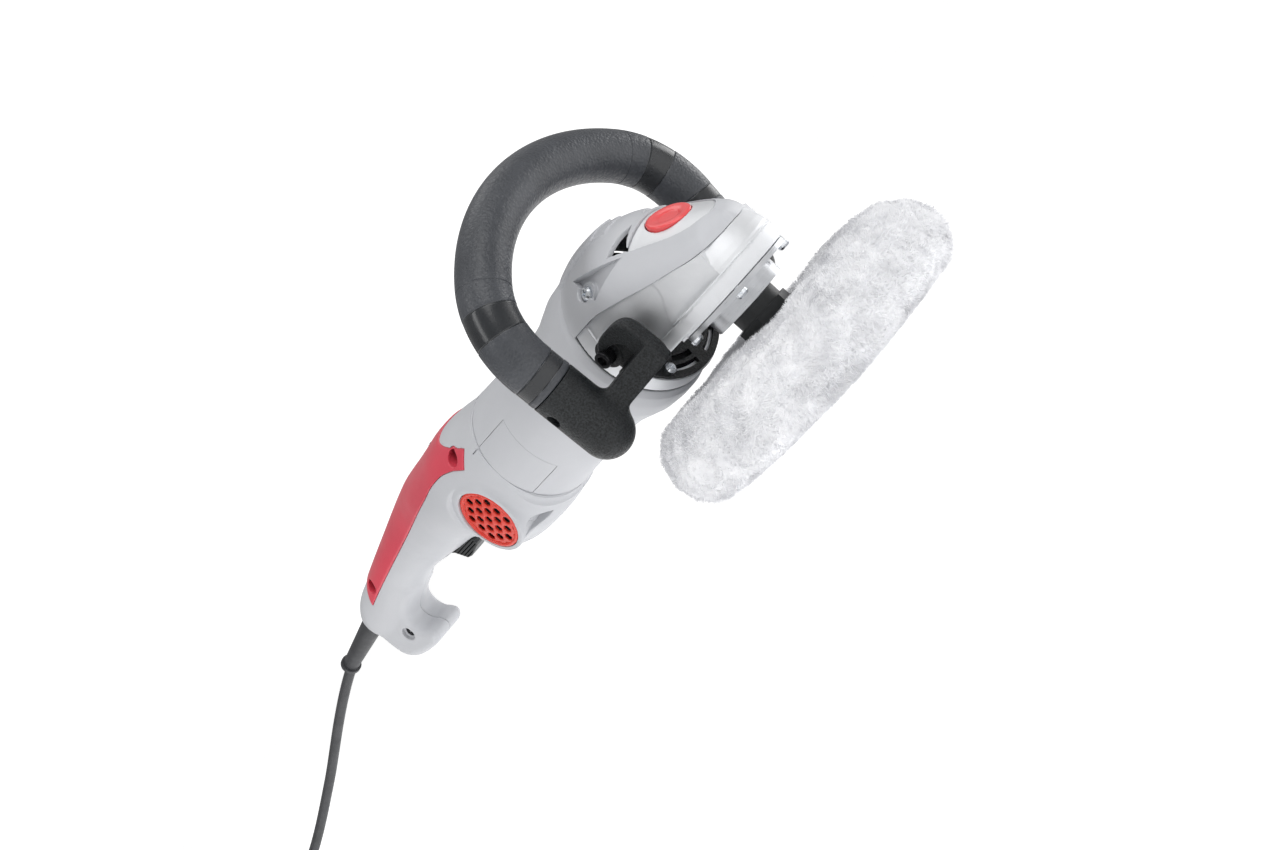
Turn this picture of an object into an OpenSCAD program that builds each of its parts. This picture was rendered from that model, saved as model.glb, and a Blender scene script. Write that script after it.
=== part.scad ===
// Rotary polisher with a D-handle and a wool bonnet.
// Frame: +Z up, the spindle turns about Z at x = y = 0, z = 0 is the working face of the wool.
// +X points forward, out of the gear head's nose; the motor and the handle lie along -X.

/* [Polishing pad] */
// Diameter of the wool bonnet
bonnet_d = 190; // [180:1:200]
// Height of the wool bonnet
bonnet_h = 47; // [46:0.5:48]
// Diameter of the backing pad inside the bonnet
backing_d = 158; // [140:1:164]
// Radius of the M14 spindle thread
thread_r = 7; // [6.5:0.1:7.5]

/* [Gear head] */
// Radius of the nose at its widest
nose_r = 35.5; // [35:0.1:36]
// Radius of the neck that holds the lower spindle bearing
neck_r = 22; // [21:0.5:23]
// Teeth on the ring gear
ring_teeth = 40; // [40:4:40]
// Teeth on the pinion
pinion_teeth = 10; // [10:1:10]

/* [Motor] */
// Height of the motor axis
motor_z = 93.5; // [93:0.1:94]
// Radius of the motor housing at the rear seam
motor_r = 37.2; // [37:0.1:38]
// Radius of the flange where the gear case meets the motor housing
flange_r = 41.2; // [41:0.1:41.5]

/* [D-handle] */
// Radius of the D-handle's tube
tube_r = 14.25; // [13.5:0.25:15]
// Height of the tube's centre line at the top of the hoop
hoop_top = 185; // [180:1:190]
// Distance of the hoop's plane behind the spindle
hoop_x = 54; // [52:1:56]

/* [Shells] */
// Wall thickness of the plastic shells
wall = 2.6; // [2.2:0.1:3]

/* [Controls] */
// Radius of the spindle lock button
lock_r = 12.3; // [12:0.1:12.5]
// Width of the trigger
trigger_w = 15; // [12:1:16]

/* [Mains lead] */
// Diameter of the cord
cord_d = 7; // [6.5:0.1:7.5]

/* [Hidden] */
fine = 96;
soft = 32;
eps = 0.01;
fit_gap = 0.05;
shaft_gap = 0.03;
play = 0.3;

// Heights along the spindle
hub_z0 = 46.5;
hub_z1 = 58;
neck_z0 = 59;
plate_z0 = 66.8;
flange_z0 = 69.5;
flange_z1 = 82;
roof_z0 = 97;
roof_z1 = 100.5;

// Places along the motor axis, measured towards the handle
plate_x = -51.3;
seam_x = -65;
rear_x = -188;

// Four screws that hold the bearing cover under the gear case
screw_circle = 31.6;
head_screws = [for (a = [45:90:315]) screw_circle * [cos(a), sin(a)]];

// Spindle lock: centre of the button's face and its tilt towards the nose
lock_x = 6.1;
lock_z = 118;
lock_tilt = 31;
pin_offset = 9;

// Gears: pitch radii follow from one module
gear_module = 1.2;
pinion_r = gear_module * pinion_teeth / 2;
ring_r = gear_module * ring_teeth / 2;
ring_face_z = motor_z - pinion_r;
ring_out_r = ring_r + 2.5;

// D-handle: a three-arc hoop, symmetric about the XZ plane, in a plane tilted forward at the top
hoop_tilt = 2.8;
hoop_mid_z = 123;
hoop_half = 82.3;
side_arc = 50;
side_y = hoop_half - side_arc;
hoop_rise = hoop_top - hoop_mid_z;
crown_drop = (side_y * side_y - pow(hoop_rise - side_arc, 2)) / (2 * (hoop_rise - side_arc));
crown_arc = hoop_rise + crown_drop;
crown_angle = atan(side_y / crown_drop);
leg_lean = 6.6;
leg_len = 48.5;
leg_top_y = side_y + side_arc * cos(leg_lean);
leg_top_z = -side_arc * sin(leg_lean);

// Rear shell: [x, top, bottom, half width] of each section from the motor seam to the heel
shell_path = [
    [-188, 130.7, 56.3, 37.2],
    [-202, 131.4, 54.8, 38.3],
    [-218, 133.6, 55.0, 39.4],
    [-234, 134.6, 60.0, 39.0],
    [-250, 133.4, 68.0, 36.2],
    [-264, 132.4, 75.0, 32.8],
    [-277, 131.8, 79.0, 28.8],
    [-288, 131.0, 80.0, 25.2],
    [-300, 129.2, 80.8, 22.2],
    [-318, 125.8, 83.0, 19.4],
    [-338, 121.6, 85.0, 17.9],
    [-356, 117.8, 83.5, 17.6],
    [-372, 114.4, 79.0, 17.6],
    [-390, 110.4, 74.0, 17.4],
    [-408, 106.0, 74.0, 16.4],
    [-420, 100.0, 78.0, 13.0]
];
// Belly under the front of the shell, that narrows to a keel before the trigger
belly_path = [
    [-196, 104, 55.6, 34.0],
    [-206, 104, 54.0, 35.4],
    [-218, 104, 52.8, 35.6],
    [-232, 104, 52.4, 34.0],
    [-245, 103, 54.2, 30.0],
    [-256, 102, 58.0, 24.5],
    [-267, 101, 63.5, 17.0],
    [-276, 100, 70.0, 9.5],
    [-282, 98, 76.0, 4.5]
];
// Hook under the heel: [x, z, radius] of the rounded pieces it is made of
hook_path = [[-405, 76, 12], [-405.5, 65, 12], [-391, 61, 8.7], [-381, 58, 5.8]];
hook_half = 15;
// Air intake on each side: centre, radius of the grille, width of its rim and turn towards the handle
grille_at = [-223.2, 38, 81];
grille_r = 19.6;
grille_rim = 3.4;
grille_turn = 8.5;

// Cord: route of the free stretch, from the boot to the coil that lies on the floor
cord_r = cord_d / 2;
cord_route = [
    [-462, 0, 84.5], [-474, 0, 82.2], [-486, 0, 79.4], [-500, 0, 75.6], [-520, 0, 69.4], [-545, 0, 60.8],
    [-570, 0, 51.6], [-595, 0, 42.4], [-620, -1, 33.4], [-645, -2, 24.6], [-668, -3, 17], [-690, -4, 10.6],
    [-712, -5, 6.2], [-735, -6, 3.8], [-758, -6, 3.5], [-780, -6, 3.5], [-800, -6, 3.5]
];
// Route of the tail, from the coil's last turn down to the plug
tail_route = [
    [-847, -53, 17.5], [-847.5, -66, 16], [-849, -79, 12], [-851, -92, 8.2], [-852.5, -104, 7.4],
    [-853, -116, 7.5], [-853, -126, 7.5]
];
coil_mid_r = 40;
coil_at = [-800, -53];
plug_at = [-853, -126, 7.5];
pin_gap = 19;
pin_len = 19;

// Sweeps along a path

function unit(v) = v / norm(v);
// A smooth curve through four neighbouring route points
function bend(p0, p1, p2, p3, t) = 0.5 * (2 * p1 + (p2 - p0) * t + (2 * p0 - 5 * p1 + 4 * p2 - p3) * t * t
    + (3 * p1 - p0 - 3 * p2 + p3) * t * t * t);
function smooth(p, steps) = concat(
    [for (i = [0:len(p) - 2]) for (j = [0:steps - 1])
        bend(p[max(i - 1, 0)], p[i], p[i + 1], p[min(i + 2, len(p) - 1)], j / steps)],
    [p[len(p) - 1]]);

// Rings of points around a path; side is a direction that the path never follows
function tube_rings(path, r, sides, side) = [for (i = [0:len(path) - 1])
    let (d = unit(path[min(i + 1, len(path) - 1)] - path[max(i - 1, 0)]), u = unit(cross(side, d)), v = cross(d, u))
    for (k = [0:sides - 1]) path[i] + r * (cos(k * 360 / sides) * u + sin(k * 360 / sides) * v)];
function tube_walls(last, sides, base) = [for (i = [0:last - 1]) for (k = [0:sides - 1])
    [base + i * sides + k, base + i * sides + (k + 1) % sides, base + (i + 1) * sides + (k + 1) % sides,
     base + (i + 1) * sides + k]];
function flipped(faces) = [for (f = faces) [for (k = [len(f) - 1:-1:0]) f[k]]];

module swept_tube(path, r, sides, side = [0, 0.02, 1]) {
    last = len(path) - 1;
    ends = [[for (k = [0:sides - 1]) sides - 1 - k], [for (k = [0:sides - 1]) last * sides + k]];
    polyhedron(tube_rings(path, r, sides, side), flipped(concat(tube_walls(last, sides, 0), ends)));
}

module swept_sleeve(path, r_out, r_in, sides, side = [1, 0, 0]) {
    last = len(path) - 1;
    inner = len(path) * sides;
    lips = [for (k = [0:sides - 1]) let (n = (k + 1) % sides) for (i = [0, last])
        i == 0 ? [k, inner + k, inner + n, n]
               : [last * sides + n, inner + last * sides + n, inner + last * sides + k, last * sides + k]];
    polyhedron(
        concat(tube_rings(path, r_out, sides, side), tube_rings(path, r_in, sides, side)),
        flipped(concat(tube_walls(last, sides, 0), flipped(tube_walls(last, sides, inner)), lips))
    );
}

// Shapes used by several parts

module along_x(x0, x1, r, z = motor_z) {
    translate([x0, 0, z]) rotate([0, 90, 0]) cylinder(r = r, h = x1 - x0, $fn = fine);
}

module tube_x(x0, x1, r_out, r_in, z = motor_z) {
    difference() {
        along_x(x0, x1, r_out, z);
        along_x(x0 - 1, x1 + 1, r_in, z);
    }
}

module bearing(width, r_out, r_in) {
    difference() {
        cylinder(r = r_out, h = width, $fn = fine);
        translate([0, 0, -1]) cylinder(r = r_in, h = width + 2, $fn = fine);
        for (z = [-1, width - 0.8]) {
            translate([0, 0, z]) difference() {
                cylinder(r = r_out - (r_out - r_in) * 0.25, h = 1.8, $fn = fine);
                translate([0, 0, -1]) cylinder(r = r_in + (r_out - r_in) * 0.25, h = 4, $fn = fine);
            }
        }
    }
}

module pan_screw(head_r, head_h, shank_r, shank_len) {
    difference() {
        union() {
            cylinder(r = head_r, h = head_h * 0.6, $fn = soft);
            translate([0, 0, head_h * 0.6]) cylinder(r1 = head_r, r2 = head_r * 0.7, h = head_h * 0.4, $fn = soft);
            translate([0, 0, -shank_len]) cylinder(r = shank_r, h = shank_len + eps, $fn = soft);
        }
        for (a = [0, 90]) {
            rotate([0, 0, a]) translate([-head_r * 0.55, -head_r * 0.12, head_h * 0.45])
                cube([head_r * 1.1, head_r * 0.24, head_h]);
        }
    }
}

module both_sides() {
    children();
    mirror([0, 1, 0]) children();
}

// A cross-section across X: a superellipse between two heights
function ring_point(half, top, bottom, a, n) = [
    half * sign(cos(a)) * pow(abs(cos(a)), 2 / n),
    (top + bottom) / 2 + (top - bottom) / 2 * sign(sin(a)) * pow(abs(sin(a)), 2 / n)
];

module slice(s, shrink, n = 2.2) {
    outline = [for (a = [0:11.25:359]) ring_point(s[3] - shrink, s[1] - shrink, s[2] + shrink, a, n)];
    translate([s[0], 0, 0]) rotate([90, 0, 90]) linear_extrude(height = 0.02) polygon(outline);
}

module slice_chain(path, shrink, n = 2.2) {
    for (i = [0:len(path) - 2]) {
        hull() {
            slice(path[i], shrink, n);
            slice(path[i + 1], shrink, n);
        }
    }
}

module lock_axis() {
    translate([lock_x, 0, lock_z]) rotate([0, lock_tilt, 0]) children();
}

// Working head

module wool_bonnet() {
    color("white") difference() {
        rotate_extrude($fn = fine) polygon(concat(
            [[0, 0], [66, 0], [80, 2.5]],
            [for (a = [-60:15:60]) [bonnet_d / 2 - 14 + 14 * cos(a), bonnet_h / 2 - 1 + 17 * sin(a)]],
            [[78, bonnet_h - 2], [64, bonnet_h], [0, bonnet_h]]
        ));
        translate([0, 0, 20]) cylinder(r = backing_d / 2, h = 18, $fn = fine);
        translate([0, 0, 37]) cylinder(r = 27, h = 20, $fn = fine);
    }
}

module backing_pad() {
    color("dimgray") difference() {
        union() {
            translate([0, 0, 20]) cylinder(r = backing_d / 2, h = 10, $fn = fine);
            translate([0, 0, 30]) cylinder(r1 = backing_d / 2, r2 = 40, h = 8, $fn = fine);
            translate([0, 0, 38]) cylinder(r = 22, h = hub_z0 - 38, $fn = fine);
        }
        translate([0, 0, 26]) cylinder(r = thread_r, h = 30, $fn = fine);
    }
}

module pad_nut() {
    color("black") translate([0, 0, hub_z0]) difference() {
        union() {
            cylinder(r = 16.5, h = 5, $fn = 6);
            translate([0, 0, 5]) cylinder(r = 13.5, h = hub_z1 - hub_z0 - 5, $fn = fine);
        }
        translate([0, 0, -1]) cylinder(r = thread_r, h = 20, $fn = fine);
    }
}

module spindle() {
    color("silver") {
        translate([0, 0, 28]) cylinder(r = thread_r, h = hub_z1 - 28, $fn = fine);
        translate([0, 0, hub_z1]) cylinder(r = 10, h = 2.5, $fn = fine);
        translate([0, 0, hub_z1 + 2.5]) cylinder(r = 7.5, h = 76 - hub_z1 - 2.5, $fn = fine);
        translate([0, 0, 76]) cylinder(r = 7, h = 10.5, $fn = fine);
        translate([0, 0, 86.5]) cylinder(r = 5, h = 17, $fn = fine);
        difference() {
            union() {
                translate([0, 0, 100.9]) cylinder(r = 11, h = 0.8, $fn = fine);
                translate([0, 0, 101.7]) cylinder(r1 = 11, r2 = 5, h = 3.6, $fn = fine);
            }
            for (a = [0, 90]) {
                rotate([0, 0, a]) for (side = [-1, 1]) {
                    translate([side * 8.6 - 3.2, -2.6, 100]) cube([6.4, 5.2, 8]);
                }
            }
        }
    }
}

module ring_gear() {
    tooth_root = ring_face_z - 1.6;
    pitch = 360 / ring_teeth;
    color("darkgray") difference() {
        union() {
            translate([0, 0, 77]) cylinder(r = 13, h = 8, $fn = fine);
            translate([0, 0, 81]) cylinder(r = ring_out_r, h = tooth_root - 81, $fn = fine);
            intersection() {
                translate([0, 0, tooth_root - 1]) difference() {
                    cylinder(r = ring_out_r, h = 3.5, $fn = fine);
                    translate([0, 0, -1]) cylinder(r = ring_r - 3, h = 6, $fn = fine);
                }
                union() for (i = [0:ring_teeth - 1]) {
                    rotate([0, 0, (i + 0.5) * pitch]) translate([0, 0, tooth_root - 1]) rotate([90, 0, 90])
                        linear_extrude(height = 40) polygon([[-0.85, 0], [0.85, 0], [0.4, 3.4], [-0.4, 3.4]]);
                }
            }
        }
        translate([0, 0, 70]) cylinder(r = 7, h = 30, $fn = fine);
    }
}

module pinion() {
    pitch = 360 / pinion_teeth;
    tooth = [[pinion_r - 1.5, -1.05], [pinion_r + 1.05, -0.4], [pinion_r + 1.05, 0.4], [pinion_r - 1.5, 1.05]];
    color("gray") translate([-28, 0, motor_z]) rotate([0, 90, 0]) difference() {
        linear_extrude(height = 7.4) polygon([for (i = [0:pinion_teeth - 1]) for (p = tooth)
            [p[0] * cos(i * pitch) - p[1] * sin(i * pitch), p[0] * sin(i * pitch) + p[1] * cos(i * pitch)]]);
        translate([0, 0, -1]) cylinder(r = 3, h = 12, $fn = fine);
    }
}

module lower_spindle_bearing() {
    color("silver") translate([0, 0, 62]) bearing(11, 17.5, 7.5 + shaft_gap);
}

module upper_spindle_bearing() {
    color("silver") translate([0, 0, 91]) bearing(6, 9.5, 5 + shaft_gap);
}

module bearing_cover() {
    color("silver") difference() {
        union() {
            translate([0, 0, neck_z0]) cylinder(r = neck_r, h = flange_z0 - neck_z0, $fn = fine);
            translate([0, 0, plate_z0]) cylinder(r = 34.2, h = flange_z0 - plate_z0, $fn = fine);
            translate([0, 0, flange_z0]) cylinder(r = 29, h = 3.5, $fn = fine);
        }
        for (p = head_screws) {
            translate([p[0], p[1], 60]) cylinder(r = 2, h = 12, $fn = soft);
        }
        translate([0, 0, 50]) cylinder(r = 11.5, h = 30, $fn = fine);
        translate([0, 0, 62]) cylinder(r = 17.5, h = 20, $fn = fine);
    }
    color("black") translate([0, 0, neck_z0 - 0.4]) difference() {
        cylinder(r = neck_r - 0.6, h = 0.6, $fn = fine);
        translate([0, 0, -1]) cylinder(r = 11.5, h = 3, $fn = fine);
    }
}

module case_outline(grow) {
    hull() {
        circle(r = 34 + grow, $fn = fine);
        translate([plate_x - 1, -36.5]) square([8, 73]);
    }
}

module case_line(lift, low) {
    polygon([[60, low], [60, 92.4 + lift], [31, 92.4 + lift], [23, 93.6 + lift], [8, 97.5 + lift],
             [-13, 103 + lift], [-35, 109.2 + lift], [-46, 111.3 + lift], [-80, 111.3 + lift], [-80, low]]);
}

module gear_case() {
    color("silver") difference() {
        union() {
            rotate_extrude($fn = fine)
                polygon([[0, flange_z0], [34.2, flange_z0], [nose_r, 78], [nose_r, 79], [0, 79]]);
            intersection() {
                rotate_extrude($fn = fine) polygon([
                    [0, 78.5], [nose_r - 0.4, 78.5], [nose_r - 0.6, flange_z1], [31.8, 92.4], [31, 96.5], [0, 96.5]
                ]);
                linear_extrude(height = 140)
                    polygon([[60, -24.2], [24.2, -24.2], [-20, -33.4], [-20, 33.4], [24.2, 24.2], [60, 24.2]]);
                translate([0, 50, 0]) rotate([90, 0, 0]) linear_extrude(height = 100) case_line(0, flange_z0);
            }
            translate([0, 0, flange_z1]) cylinder(r = 24, h = roof_z1 - flange_z1, $fn = fine);
            translate([0, 0, flange_z0 + 2]) linear_extrude(height = 6.5) case_outline(0);
            intersection() {
                hull() {
                    translate([22, -24, 74]) cube([3, 48, 24]);
                    along_x(plate_x - 2, plate_x + 1, flange_r - 1);
                }
                translate([0, 50, 0]) rotate([90, 0, 0]) linear_extrude(height = 100)
                    case_line(0, flange_z0 + 2);
            }
            intersection() {
                along_x(seam_x + 1, plate_x - 2, flange_r);
                translate([0, 50, 0]) rotate([90, 0, 0]) linear_extrude(height = 100) case_line(0, 40);
            }
        }
        plate_holes();
        // Room for the collar of the spindle lock
        translate([0, 0, roof_z1]) cylinder(r = 11.6, h = 20, $fn = fine);
        // Gear chamber
        translate([0, 0, 50]) cylinder(r = 29, h = 23, $fn = fine);
        translate([0, 0, 72]) cylinder(r = 29.2, h = 6, $fn = fine);
        translate([0, 0, 77]) cylinder(r = ring_out_r + 0.6, h = 13, $fn = fine);
        translate([0, 0, 80]) cylinder(r = 21, h = roof_z0 - 80, $fn = fine);
        // Fan chamber and the pinion's passage
        along_x(-80, plate_x - 2, 35);
        along_x(-56, -44, 9);
        along_x(-45, -35, 16);
        along_x(-36, -20, 10.5);
        translate([0, 0, 90]) cylinder(r = 6, h = 30, $fn = fine);
        both_sides() translate([-45.4, 55, motor_z]) rotate([90, 0, 0]) cylinder(r = 2.5, h = 18, $fn = fine);
        for (p = head_screws) {
            translate([p[0], p[1], 60]) cylinder(r = 2, h = 18, $fn = soft);
        }
    }
    // Boss that holds the upper spindle bearing
    color("silver") difference() {
        translate([0, 0, 90.5]) cylinder(r = 12, h = roof_z0 - 90.5 + eps, $fn = fine);
        translate([0, 0, 80]) cylinder(r = 9.5, h = 17, $fn = fine);
        translate([0, 0, 80]) cylinder(r = 6, h = 30, $fn = fine);
    }
}

module plate_holes() {
    both_sides() translate([plate_x - 8, -22.3, 65.6]) rotate([0, 90, 0]) cylinder(r = 1.65, h = 12, $fn = soft);
}

module exhaust_plate() {
    color("black") translate([plate_x - 2, 0, 0]) difference() {
        along_x(0, 2, 40.4);
        along_x(-1, 3, 19);
        translate([2 - plate_x, 0, 0]) plate_holes();
        translate([-1, -60, flange_z0 + 2]) cube([4, 120, 90]);
        for (r = [28.3, 33.8]) {
            for (a = [-19.5, 19.5]) {
                translate([-1, 0, motor_z]) rotate([a, 0, 0]) rotate([0, 90, 0]) rotate([0, 0, -13])
                    rotate_extrude(angle = 26, $fn = fine) translate([r, 0]) square([3.2, 4]);
            }
        }
    }
}

module plate_screw() {
    color("silver") both_sides()
        translate([plate_x, -22.3, 65.6]) rotate([0, 90, 0]) pan_screw(3.2, 2.2, 1.6, 6);
}

module gasket() {
    color("black") tube_x(seam_x, seam_x + 1, flange_r - 0.3, 35);
}

module gear_cover_solid(grow) {
    // [x, top, bottom, half width] from the gasket to the nose
    path = [
        [seam_x + 1, 137.2, 60, 41.2], [-56, 138.6, 62, 40.4], [-44, 138.8, 64, 38.8], [-33, 137.8, 66, 36.9],
        [-20, 133.8, 66, 34.6], [-8, 126.8, 68, 32.4], [4, 119.6, 70, 30.0], [14, 113.6, 72, 27.2],
        [22, 108.8, 74, 23.4], [28, 104.6, 76, 17.6], [31.6, 99.6, 80, 8]
    ];
    slice_chain(path, -grow, 2.1);
}

module gear_cover() {
    color("lightgray") difference() {
        union() {
            difference() {
                gear_cover_solid(0);
                gear_cover_solid(-wall);
            }
            lock_axis() translate([0, 0, -8.5]) cylinder(r = lock_r + 2.4, h = 8, $fn = soft);
        }
        translate([0, 70, 0]) rotate([90, 0, 0]) linear_extrude(height = 140) case_line(play, 40);
        lock_axis() {
            translate([0, 0, -7.3]) cylinder(r = lock_r + play, h = 30, $fn = fine);
            translate([pin_offset, 0, -20]) cylinder(r = 2.4 + fit_gap, h = 30, $fn = soft);
            translate([0, 0, 2]) cylinder(r = lock_r + 3, h = 20, $fn = fine);
        }
        // Vents beside the button
        both_sides() translate([-19, -26, 129]) rotate([52, 0, 0]) translate([0, 0, -8]) linear_extrude(height = 20)
            polygon([[-9, -3], [6, -4], [8, 4]]);
        both_sides() translate([-42.5, -29.5, 121]) rotate([50, 0, 0]) cylinder(r = 4.2, h = 20, $fn = soft);
        both_sides() translate([-42.5, -29.5, 121]) rotate([50, 0, 0]) translate([0, 0, -15])
            cylinder(r = 1.9, h = 20, $fn = soft);
    }
}

module cover_screws() {
    color("silver") both_sides() translate([-42.5, -29.5, 121]) rotate([50, 0, 0]) pan_screw(3.9, 2.6, 1.8, 9);
}

module flange_screws() {
    color("silver") for (p = head_screws) {
        translate([p[0], p[1], plate_z0]) rotate([180, 0, 0]) pan_screw(3.4, 2.8, 1.95, 9);
    }
}

module lock_bushing() {
    color("dimgray") lock_axis() translate([0, 0, -8.5]) difference() {
        translate([pin_offset, 0, -0.9]) cylinder(r = 2.4, h = 2.4, $fn = soft);
        translate([pin_offset, 0, -2]) cylinder(r = 1.5 + fit_gap, h = 6, $fn = soft);
    }
}

module lock_button() {
    color("red") lock_axis() difference() {
        translate([0, 0, -4]) cylinder(r = lock_r, h = 4, $fn = fine);
        translate([0, 0, -5]) cylinder(r = lock_r - 1.8, h = 3, $fn = fine);
        translate([0, 0, 26]) sphere(r = 27, $fn = fine);
    }
}

module lock_pin() {
    color("silver") lock_axis() translate([pin_offset, 0, -10.4]) cylinder(r = 1.5, h = 8.4, $fn = soft);
}

module lock_spring() {
    turns = 3;
    color("silver") lock_axis() translate([0, 0, -6.9]) for (i = [0:turns - 1]) {
        translate([0, 0, 0.6 + i * 1.6]) rotate_extrude($fn = fine) translate([5.2, 0]) circle(r = 0.5, $fn = 16);
    }
}

// D-handle

// Centre line of the hoop in its own plane, as [y, z] from one sleeve end to the other
sleeve_end = 14;
core_r = 9;
side_steps = 7;
crown_steps = 10;
side_sweep = 90 - crown_angle + leg_lean;
function leg_point(s) = [leg_top_y - s * sin(leg_lean), leg_top_z - s * cos(leg_lean)];
half_hoop = concat(
    [leg_point(sleeve_end), leg_point(sleeve_end / 2)],
    [for (i = [0:side_steps - 1]) let (a = i * side_sweep / side_steps - leg_lean)
        [side_y + side_arc * cos(a), side_arc * sin(a)]]
);
hoop_line = concat(
    half_hoop,
    [for (i = [0:crown_steps]) let (a = crown_angle * (1 - 2 * i / crown_steps))
        [crown_arc * sin(a), crown_arc * cos(a) - crown_drop]],
    [for (i = [len(half_hoop) - 1:-1:0]) [-half_hoop[i][0], half_hoop[i][1]]]
);
hoop_path = [for (p = hoop_line) [0, p[0], p[1]]];
core_tip = leg_point(sleeve_end + 4);
core_path = concat([[0, core_tip[0], core_tip[1]]], hoop_path, [[0, -core_tip[0], core_tip[1]]]);

module on_hoop() {
    translate([-hoop_x, 0, hoop_mid_z]) rotate([0, hoop_tilt, 0]) children();
}

module on_leg() {
    on_hoop() translate([0, leg_top_y, leg_top_z]) rotate([180 - leg_lean, 0, 0]) children();
}

module d_handle_frame() {
    color("#222222") difference() {
        union() {
            on_hoop() swept_tube(core_path, core_r, 16, [1, 0, 0]);
            both_sides() {
                on_leg() rotate_extrude($fn = fine) polygon(concat(
                    [[0, sleeve_end], [tube_r, sleeve_end]],
                    [for (a = [0:10:90]) [tube_r * cos(a), leg_len + tube_r * sin(a)]]
                ));
                hull() {
                    translate([-60, 44.5, 74]) cube([36, 8, 12]);
                    translate([-45.4, 44.5, motor_z]) rotate([-90, 0, 0]) cylinder(r = 10, h = 8, $fn = soft);
                    translate([-31, 44.5, 95]) rotate([-90, 0, 0]) cylinder(r = 6, h = 8, $fn = soft);
                }
                hull() {
                    translate([-60, 46, 72]) cube([36, 6.5, 11.5]);
                    translate([-64, 74, 67]) cube([20, 4, 15]);
                }
            }
        }
        both_sides() {
            translate([-45.4, 60, motor_z]) rotate([90, 0, 0]) cylinder(r = 2.5, h = 30, $fn = fine);
            translate([-62, 48.5, 84]) cube([31.5, 18, 15]);
        }
    }
}

module d_handle_grip() {
    color("#2b2b2b") on_hoop() swept_sleeve(hoop_path, tube_r, core_r + 0.2, 16);
}

module d_handle_bolts() {
    color("#303030") both_sides() translate([-45.4, 48.5, motor_z]) rotate([-90, 0, 0]) difference() {
        union() {
            cylinder(r = 4.5, h = 6, $fn = fine);
            translate([0, 0, -10]) cylinder(r = 2.5, h = 10.5, $fn = fine);
        }
        translate([0, 0, 3]) cylinder(r = 2.4, h = 4, $fn = 6);
    }
}

// Motor

module motor_housing() {
    color("lightgray") difference() {
        union() {
            translate([0, 0, motor_z]) rotate([0, 90, 0]) rotate_extrude($fn = fine) polygon([
                [38.6, seam_x], [flange_r, seam_x], [43, -70], [43.3, -78], [42.6, -88], [40.4, -97],
                [37.6, -108], [36.2, -120], [36.2, -140], [motor_r, rear_x], [34, rear_x], [34, -110],
                [37.6, -96], [39.4, -86]
            ]);
            tube_x(rear_x, rear_x + 3, 35, 11);
            tube_x(rear_x - 10, rear_x + 3, 14, 11);
        }
        for (a = [45:90:315]) {
            translate([rear_x - 1, 0, motor_z]) rotate([a, 0, 0]) translate([0, 0, 24]) rotate([0, 90, 0])
                cylinder(r = 7.5, h = 5, $fn = soft);
        }
        both_sides() translate([-184.5, -60, motor_z - 18]) cube([34, 40, 36]);
    }
}

module brush_cover(side) {
    color("gainsboro") intersection() {
        tube_x(-184.2, -150.8, 37.4, 33.4);
        translate([-184.2, side > 0 ? 20 : -60, motor_z - 17.7]) cube([33.4, 40, 35.4]);
    }
}

module stator_core() {
    color("gray") difference() {
        union() {
            tube_x(-148, -92, 33.9, 30.2);
            intersection() {
                tube_x(-148, -92, 31, 22);
                translate([-148, -8, 40]) cube([56, 16, 120]);
            }
        }
        along_x(-160, -80, 22);
    }
}

module field_coils() {
    color("#b5651d") difference() {
        intersection() {
            tube_x(-156, -84, 29.8, 23.5);
            translate([-156, -17, 40]) cube([72, 34, 120]);
        }
        translate([-148.4, -8.3, 40]) cube([56.8, 16.6, 120]);
    }
}

module armature_core() {
    color("gray") difference() {
        along_x(-146, -94, 21.2);
        along_x(-150, -90, 5);
        for (a = [0:30:330]) {
            translate([-150, 0, motor_z]) rotate([a, 0, 0]) translate([0, -1.2, 13]) cube([60, 2.4, 10]);
        }
    }
}

module commutator() {
    color("#b87333") difference() {
        along_x(-176, -160, 12);
        along_x(-180, -150, 5);
        for (a = [0:15:345]) {
            translate([-177, 0, motor_z]) rotate([a, 0, 0]) translate([0, -0.25, 11.2]) cube([18, 0.5, 2]);
        }
    }
}

module armature_shaft() {
    color("silver") {
        along_x(-28, -20.6, 3);
        along_x(-35, -28, 5);
        along_x(-45, -35, 6);
        along_x(-190, -45, 5);
        along_x(-199, -190, 4);
    }
}

module fan() {
    blades = 12;
    color("dimgray") {
        difference() {
            union() {
                along_x(-74, -72, 32.5);
                along_x(-74, -62, 9);
            }
            along_x(-80, -55, 5);
        }
        for (i = [0:blades - 1]) {
            translate([-72.5, 0, motor_z]) rotate([i * 360 / blades, 0, 0]) translate([0, -0.9, 8.5])
                cube([12, 1.8, 23]);
        }
    }
}

module front_bearing() {
    color("silver") translate([-45, 0, motor_z]) rotate([0, 90, 0]) bearing(10, 16, 6 + shaft_gap);
}

module rear_bearing() {
    color("silver") translate([-197, 0, motor_z]) rotate([0, 90, 0]) bearing(7, 11, 4 + shaft_gap);
}

module brush_holders() {
    color("goldenrod") both_sides() difference() {
        translate([-174, 15, motor_z - 6]) cube([12, 15, 12]);
        translate([-172, 14, motor_z - 4]) cube([8, 17, 8]);
    }
}

module carbon_brushes() {
    color("#333333") both_sides() translate([-172, 12.3, motor_z - 4]) cube([8, 14, 8]);
}

// Rear shell and handle

module at_grille(side) {
    translate([grille_at[0], side * grille_at[1], grille_at[2]]) rotate([0, 0, side * grille_turn])
        rotate([side > 0 ? -90 : 90, 0, 0]) children();
}

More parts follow.
